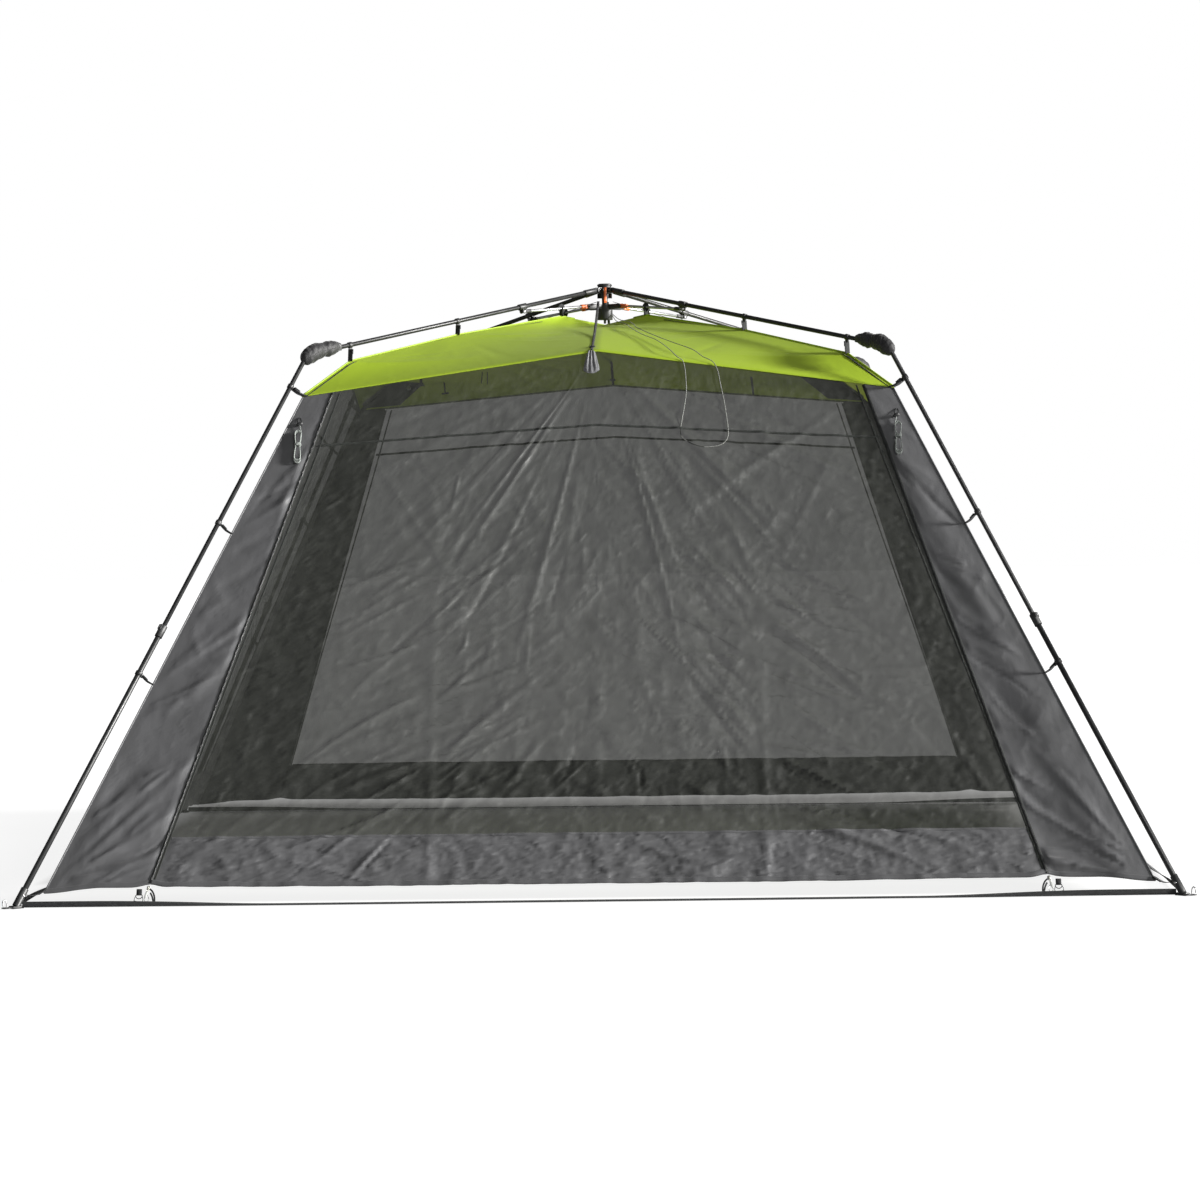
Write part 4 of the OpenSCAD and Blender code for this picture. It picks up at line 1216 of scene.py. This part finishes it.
def make_zip_sliders():
    """The front zips' sliders, each with its bridge and pull, at the bottom of their travel."""
    peak = PEAK_Z[0]
    zip_top_z = peak - (peak - EAVE_Z) * ZIP_TOP / EAVE
    lean = math.atan2(ZIP_BOTTOM - ZIP_TOP, (zip_top_z - HEM_Z) / math.sin(WALL_TILT))
    for side, label in ((-1, "left"), (1, "right")):
        place = wall_frame(0, side * ZIP_BOTTOM, HEM_Z, side * lean)
        arch = [place @ Vector((0, y, z)) for y, z in ((0.0090, 0.0055), (0.0100, 0.0074), (0.0150, 0.0080),
                                                       (0.0190, 0.0074), (0.0200, 0.0055))]
        link = [place @ Vector((0.0030 * math.sin(a), 0.0065 + 0.0050 * math.cos(a), 0.0058))
                for a in np.linspace(0, 2 * math.pi, 21)]
        parts = [
            lofted("body", [(0.0065, 0.0034, 0.0030, 0.0052), (0.0085, 0.0048, 0.0016, 0.0060),
                            (0.0150, 0.0054, 0.0013, 0.0064), (0.0200, 0.0058, 0.0016, 0.0062),
                            (0.0232, 0.0040, 0.0030, 0.0050)], SLIDER, place),
            tube("bridge", arch, 0.0010, SLIDER, sides=8),
            tube("link", link, 0.0009, SLIDER, sides=8),
            lofted("pull", [(0.0035, 0.0024, 0.0030, 0.0056), (0.0010, 0.0038, 0.0024, 0.0060),
                            (-0.0080, 0.0044, 0.0022, 0.0062), (-0.0190, 0.0034, 0.0024, 0.0058),
                            (-0.0238, 0.0016, 0.0032, 0.0050)], PULL, place),
        ]
        slider = joined(f"zip_slider_{label}_pull", parts)
        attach(slider, f"zip_slider_{label}")
        gathers(slider)
        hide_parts(f"zip_slider_{label}")


def make_zip_ends():
    """What hangs below each front zip: a wire hook, a ring with its elastic, and a webbing loop."""
    for side, label in ((-1, "left"), (1, "right")):

        def at(x, z, out=0.0):
            return (side * (ZIP_BOTTOM - x), -wall_out(z) - 0.004 - out, z)

        wire = [at(0.000, 0.040), at(0.0015, 0.034), at(0.0075, 0.020), at(0.0010, 0.007), at(0.000, 0.0035),
                at(-0.0010, 0.007), at(-0.0080, 0.020), at(-0.0015, 0.034), at(0.000, 0.040)]
        hook = tube(f"zip_hook_{label}", smooth_path(wire, 60), 0.0011, STEEL, sides=8)
        with_frame(hook)
        ring = [at(-0.026 + 0.011 * math.cos(a), 0.030 + 0.009 * min(math.sin(a), 0.35), 0.001)
                for a in np.linspace(0, 2 * math.pi, 33)]
        elastic = [at(-0.036, 0.032, 0.002), at(-0.041, 0.022, 0.003), at(-0.040, 0.013, 0.003),
                   at(-0.030, 0.0105, 0.003), at(-0.018, 0.0095, 0.003), at(-0.012, 0.016, 0.003),
                   at(-0.014, 0.027, 0.002)]
        loop = [at(0.010, 0.052), at(0.019, 0.044, 0.002), at(0.026, 0.030, 0.004), at(0.028, 0.014, 0.005),
                at(0.0255, 0.0055, 0.005), at(0.023, 0.014, 0.005), at(0.019, 0.028, 0.004),
                at(0.012, 0.040, 0.001)]
        parts = [
            swept("tab", [at(-0.026, z, 0.0006) for z in (0.052, 0.046, 0.040, 0.032)],
                  strap_section(0.019, 0.003), BLACK_WEB, up=(0, -1, 0)),
            tube("ring", ring, 0.0014, FITTING, sides=8),
            tube("elastic", smooth_path(elastic, 40), 0.0011, BLACK_WEB, sides=8),
            tube("bar", [at(-0.043, 0.0135, 0.004), at(-0.036, 0.0125, 0.004), at(-0.024, 0.0105, 0.004),
                         at(-0.018, 0.0095, 0.004)], 0.0024, FITTING, sides=10),
            swept("loop", smooth_path(loop, 40), strap_section(0.006, 0.0022), BLACK_WEB, up=(0, -1, 0)),
        ]
        with_frame(joined(f"zip_end_loops_{label}", parts))


# From a foot's middle to its stake eye, and from a boot's rivet to the foot
EYE_OUT, RIVET_UP, BOOT_HALF = 0.040, 0.036, 0.0128


def make_foot_wires():
    """A rivet through each foot's boot, and the bent wire peg that stands in its eye."""
    for corner, bearing in CORNERS.items():
        leg = on_leg(bearing)
        turn = leg.to_3x3()
        dome = [(0.0046, -0.001), (0.0046, 0.0004), (0.0036, 0.0014), (0.0016, 0.0019), (0.0003, 0.0020)]
        parts = [lathe("rivet", dome, STEEL, leg @ Vector((LEG_LEN - RIVET_UP, side * BOOT_HALF, 0)),
                       turn @ Vector((0, side, 0))) for side in (-1, 1)]
        r = FOOT_R + EYE_OUT
        wire = [around(bearing, r + out, z) for out, z in (
            (0.0, 0.0030), (0.0, 0.016), (0.001, 0.024), (0.007, 0.031), (0.014, 0.028), (0.016, 0.020),
            (0.015, 0.012))]
        parts.append(tube("peg", smooth_path(wire, 40), 0.0022, STEEL, sides=10))
        piece = joined(f"foot_wire_{corner}", parts)
        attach(piece, f"lower_leg_{corner}")


def make_ties():
    """Small straps and ties that hang inside, under the back of the roof."""
    hung = [("disc", (-0.838, 0.922, 1.834), 1.822, 0.008), ("bar", (-0.782, 0.846, 1.870), 1.829, 0.011),
            ("bar", (-0.692, 0.898, 1.850), 1.797, 0.006), ("plain", (-0.526, 0.783, 1.880), 1.831, 0.004),
            ("plain", (-0.506, 0.783, 1.880), 1.829, 0.004), ("plain", (0.569, 0.883, 1.854), 1.772, 0.009)]
    for i, (kind, (x, y, z), bottom, width) in enumerate(hung):
        lean = 0.10 * (i % 3 - 1)
        path = [(x + lean * (z - h), y - 0.002 * k, h) for k, h in enumerate(np.linspace(z, bottom, 5))]
        end = Vector(path[-1])
        parts = [swept("strap", smooth_path(path, 14), strap_section(width, 0.0016), BLACK_WEB,
                       up=(0, -1, 0))]
        if kind == "bar":
            bar = [end + Vector((a, 0, 0.12 * a)) for a in (-0.014, -0.005, 0.005, 0.014)]
            parts.append(tube("bar", bar, 0.0036, FITTING))
        if kind == "disc":
            rim = [(0.002, -0.003), (0.009, -0.002), (0.010, 0.0), (0.009, 0.002), (0.002, 0.003)]
            parts.append(lathe("disc", rim, SILVER, end, (0.2, -1, 0.1)))
        with_frame(joined(f"roof_tie_{i + 1}", parts))


def make_corner_patches():
    """Doubling sewn under the roof at each corner, coloured near black as painted shade in the corner."""
    for corner, bearing in CORNERS.items():
        parts = []
        for turn, side in ((-45, 1), (45, -1)):
            wall = (bearing + 90 + turn) % 360
            t, v = np.meshgrid(side * np.linspace(0.86, 0.995, 12), np.linspace(0.86, 0.985, 12))
            points = roof_surface(wall)(t, v)
            points[..., 2] -= 0.006
            parts.append(add_piece("patch", points.reshape(-1, 3), grid_faces(*t.shape), DOUBLING_AND_SHADE,
                                   np.stack([t, v], axis=-1).reshape(-1, 2)))
        with_frame(joined(f"roof_corner_patch_{corner}", parts))


make_straps()
make_gable_straps()
make_gable_patch()
make_knee_covers()
make_zip_sliders()
make_zip_ends()
make_foot_wires()
make_ties()
make_corner_patches()

# ---------- the frame's own parts ----------


def softened(node, width):
    """Rounds a CAD part's sharp edges, without touching its mesh."""
    weld = node.modifiers.new("weld", "WELD")
    weld.merge_threshold = 0.00002
    bevel = node.modifiers.new("bevel", "BEVEL")
    bevel.width, bevel.segments = width, 2
    bevel.limit_method, bevel.angle_limit = "ANGLE", math.radians(35)
    bevel.harden_normals = True


def paint(node, *materials):
    node.data.materials.clear()
    for material in materials:
        node.data.materials.append(material)
    for face in node.data.polygons:
        face.material_index = 0
        face.use_smooth = True


# The strut's inner fittings, nearer the hub's axis than this, are orange
ORANGE_R = 0.25
# Pins that belong to a moulded node: their centre along the arm, their head's radius and their half length
PINS = (("arm_fittings", (0.400, 0, -0.018), 0.0034, 0.0107), ("knee", (ARM_LEN, 0, 0.006), 0.0044, 0.0132))


def finish_nodes():
    """Gives each visible CAD node its material, with its edges softened by a width."""
    finishes = {
        "hub_body": (FITTING, 0.0008), "hub_cap": (FITTING, 0.0015), "hub_pins": (STEEL, 0.0004),
        "release_lever": (ORANGE, 0.0010), "runner": (FITTING, 0.0008), "arm_fittings": (FITTING, 0.0006),
        "arm": (TUBE, 0.0004), "knee": (FITTING, 0.0008), "strut": (SILVER, 0.0003),
        "strut_ends": (FITTING, 0.0008),
        "upper_leg": (TUBE, 0.0004), "collar": (FITTING, 0.0008), "lock_button": (STEEL, 0.0006),
        "lower_leg": (TUBE, 0.0004), "foot": (FITTING, 0.0010),
    }
    for name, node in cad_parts.items():
        kind = name if name in finishes else name.rsplit("_", 1)[0]
        if kind not in finishes or node.hide_render:
            continue
        material, width = finishes[kind]
        paint(node, material)
        softened(node, width)
    for corner, bearing in CORNERS.items():
        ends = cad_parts[f"strut_ends_{corner}"]
        ends.data.materials.append(ORANGE)
        for face in ends.data.polygons:
            if Vector(face.center[:2]).length < ORANGE_R:
                face.material_index = 1
        for kind, pin, radius, half in PINS:
            steel_where(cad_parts[f"{kind}_{corner}"], on_arm(bearing) @ Vector(pin), tangent(bearing),
                        radius, half)


def steel_where(node, centre, axis, radius, beyond):
    """The faces of a pin's ends, which stand further out along its axis than the ears it crosses."""
    node.data.materials.append(STEEL)
    axis = Vector(axis)
    for face in node.data.polygons:
        away = face.center - Vector(centre)
        along = away.dot(axis)
        if (away - axis * along).length < radius and abs(along) > beyond - 0.0012:
            face.material_index = 1


finish_nodes()

# ---------- floor and light ----------


def make_floor():
    """A pale floor, which the camera sees as white except under the back of the fabric and in a strip behind
    it: real shade of the fabric under it, painted shade in the sunlit strip behind it.
    """
    material, tree, shader = new_material("pale_floor")
    place = add(tree, "ShaderNodeTexCoord").outputs["Object"]
    axes = add(tree, "ShaderNodeSeparateXYZ", {0: place})
    aside = maths(tree, "ABSOLUTE", axes.outputs[0])
    # The camera sees the floor whitened everywhere but under the back of the fabric and out to 2.3 to 2.8 m
    # behind its back hem. That sunlit strip behind the hem stays darker as painted shade.
    side_edge, front_edge, back_edge = (1.85, 2.05), (-1.2, -0.6), (2.3, 2.8)
    beside = span(tree, aside, 0.0, 1.0, *side_edge)
    before = span(tree, axes.outputs[1], 1.0, 0.0, *front_edge)
    behind = span(tree, axes.outputs[1], 0.0, 1.0, *back_edge)
    whitened_floor = maths(tree, "MAXIMUM", maths(tree, "MAXIMUM", beside, before), behind)
    seen = add(tree, "ShaderNodeLightPath").outputs["Is Camera Ray"]
    lifted = maths(tree, "MULTIPLY", whitened_floor, seen)
    tone = maths(tree, "MULTIPLY", span(tree, noise(tree, place, 0.4, 3.0), 0.60, 0.64),
                 span(tree, lifted, 1.0, 0.35))
    feed(tree, shader, {
        "Base Color": ramp(tree, tone, (0.0, (0, 0, 0)), (1.0, (1, 1, 1))),
        "Roughness": 0.85, "Emission Color": (1, 1, 1, 1), "Emission Strength": span(tree, lifted, 0.0, 0.84),
    })
    half, z = 60.0, -0.0005
    corners = [(x * half, y * half, z) for x, y in ((-1, -1), (1, -1), (1, 1), (-1, 1))]
    add_piece("floor", corners, [(0, 1, 2, 3)], material)


SOFT_LIGHT, BACKDROP = 0.14, 1.0
LAMP_AIM = Vector((0, 0, 1.0))


def make_sun(name, place, disc, power, colour=(1, 1, 1)):
    """A sun that shines from a place towards the middle of the object. Its disc is an angle in degrees."""
    data = bpy.data.lights.new(name, "SUN")
    data.energy, data.color, data.angle = power, colour, math.radians(disc)
    lamp = bpy.data.objects.new(name, data)
    turn = (LAMP_AIM - Vector(place)).to_track_quat("-Z", "Y").to_matrix().to_4x4()
    lamp.matrix_world = Matrix.Translation(place) @ turn
    bpy.context.scene.collection.objects.link(lamp)


def make_studio():
    """A white backdrop that only the camera sees at full strength, and three suns."""
    world = bpy.data.worlds.new("studio")
    bpy.context.scene.world = world
    world.use_nodes = True
    tree = world.node_tree
    background = tree.nodes["Background"]
    background.inputs["Color"].default_value = (1.0, 1.0, 1.0, 1)
    seen = add(tree, "ShaderNodeLightPath").outputs["Is Camera Ray"]
    tree.links.new(span(tree, seen, SOFT_LIGHT, BACKDROP), background.inputs["Strength"])
    make_sun("key", (9.7, -2.0, 3.2), 9, 10.0, (1.0, 0.985, 0.96))
    make_sun("glint", (5.0, -7.0, 7.0), 6, 0.75)
    make_sun("back", (4.0, 12.0, 4.2), 20, 0.7)
    bpy.context.scene.view_settings.view_transform = "Standard"


make_floor()
make_studio()
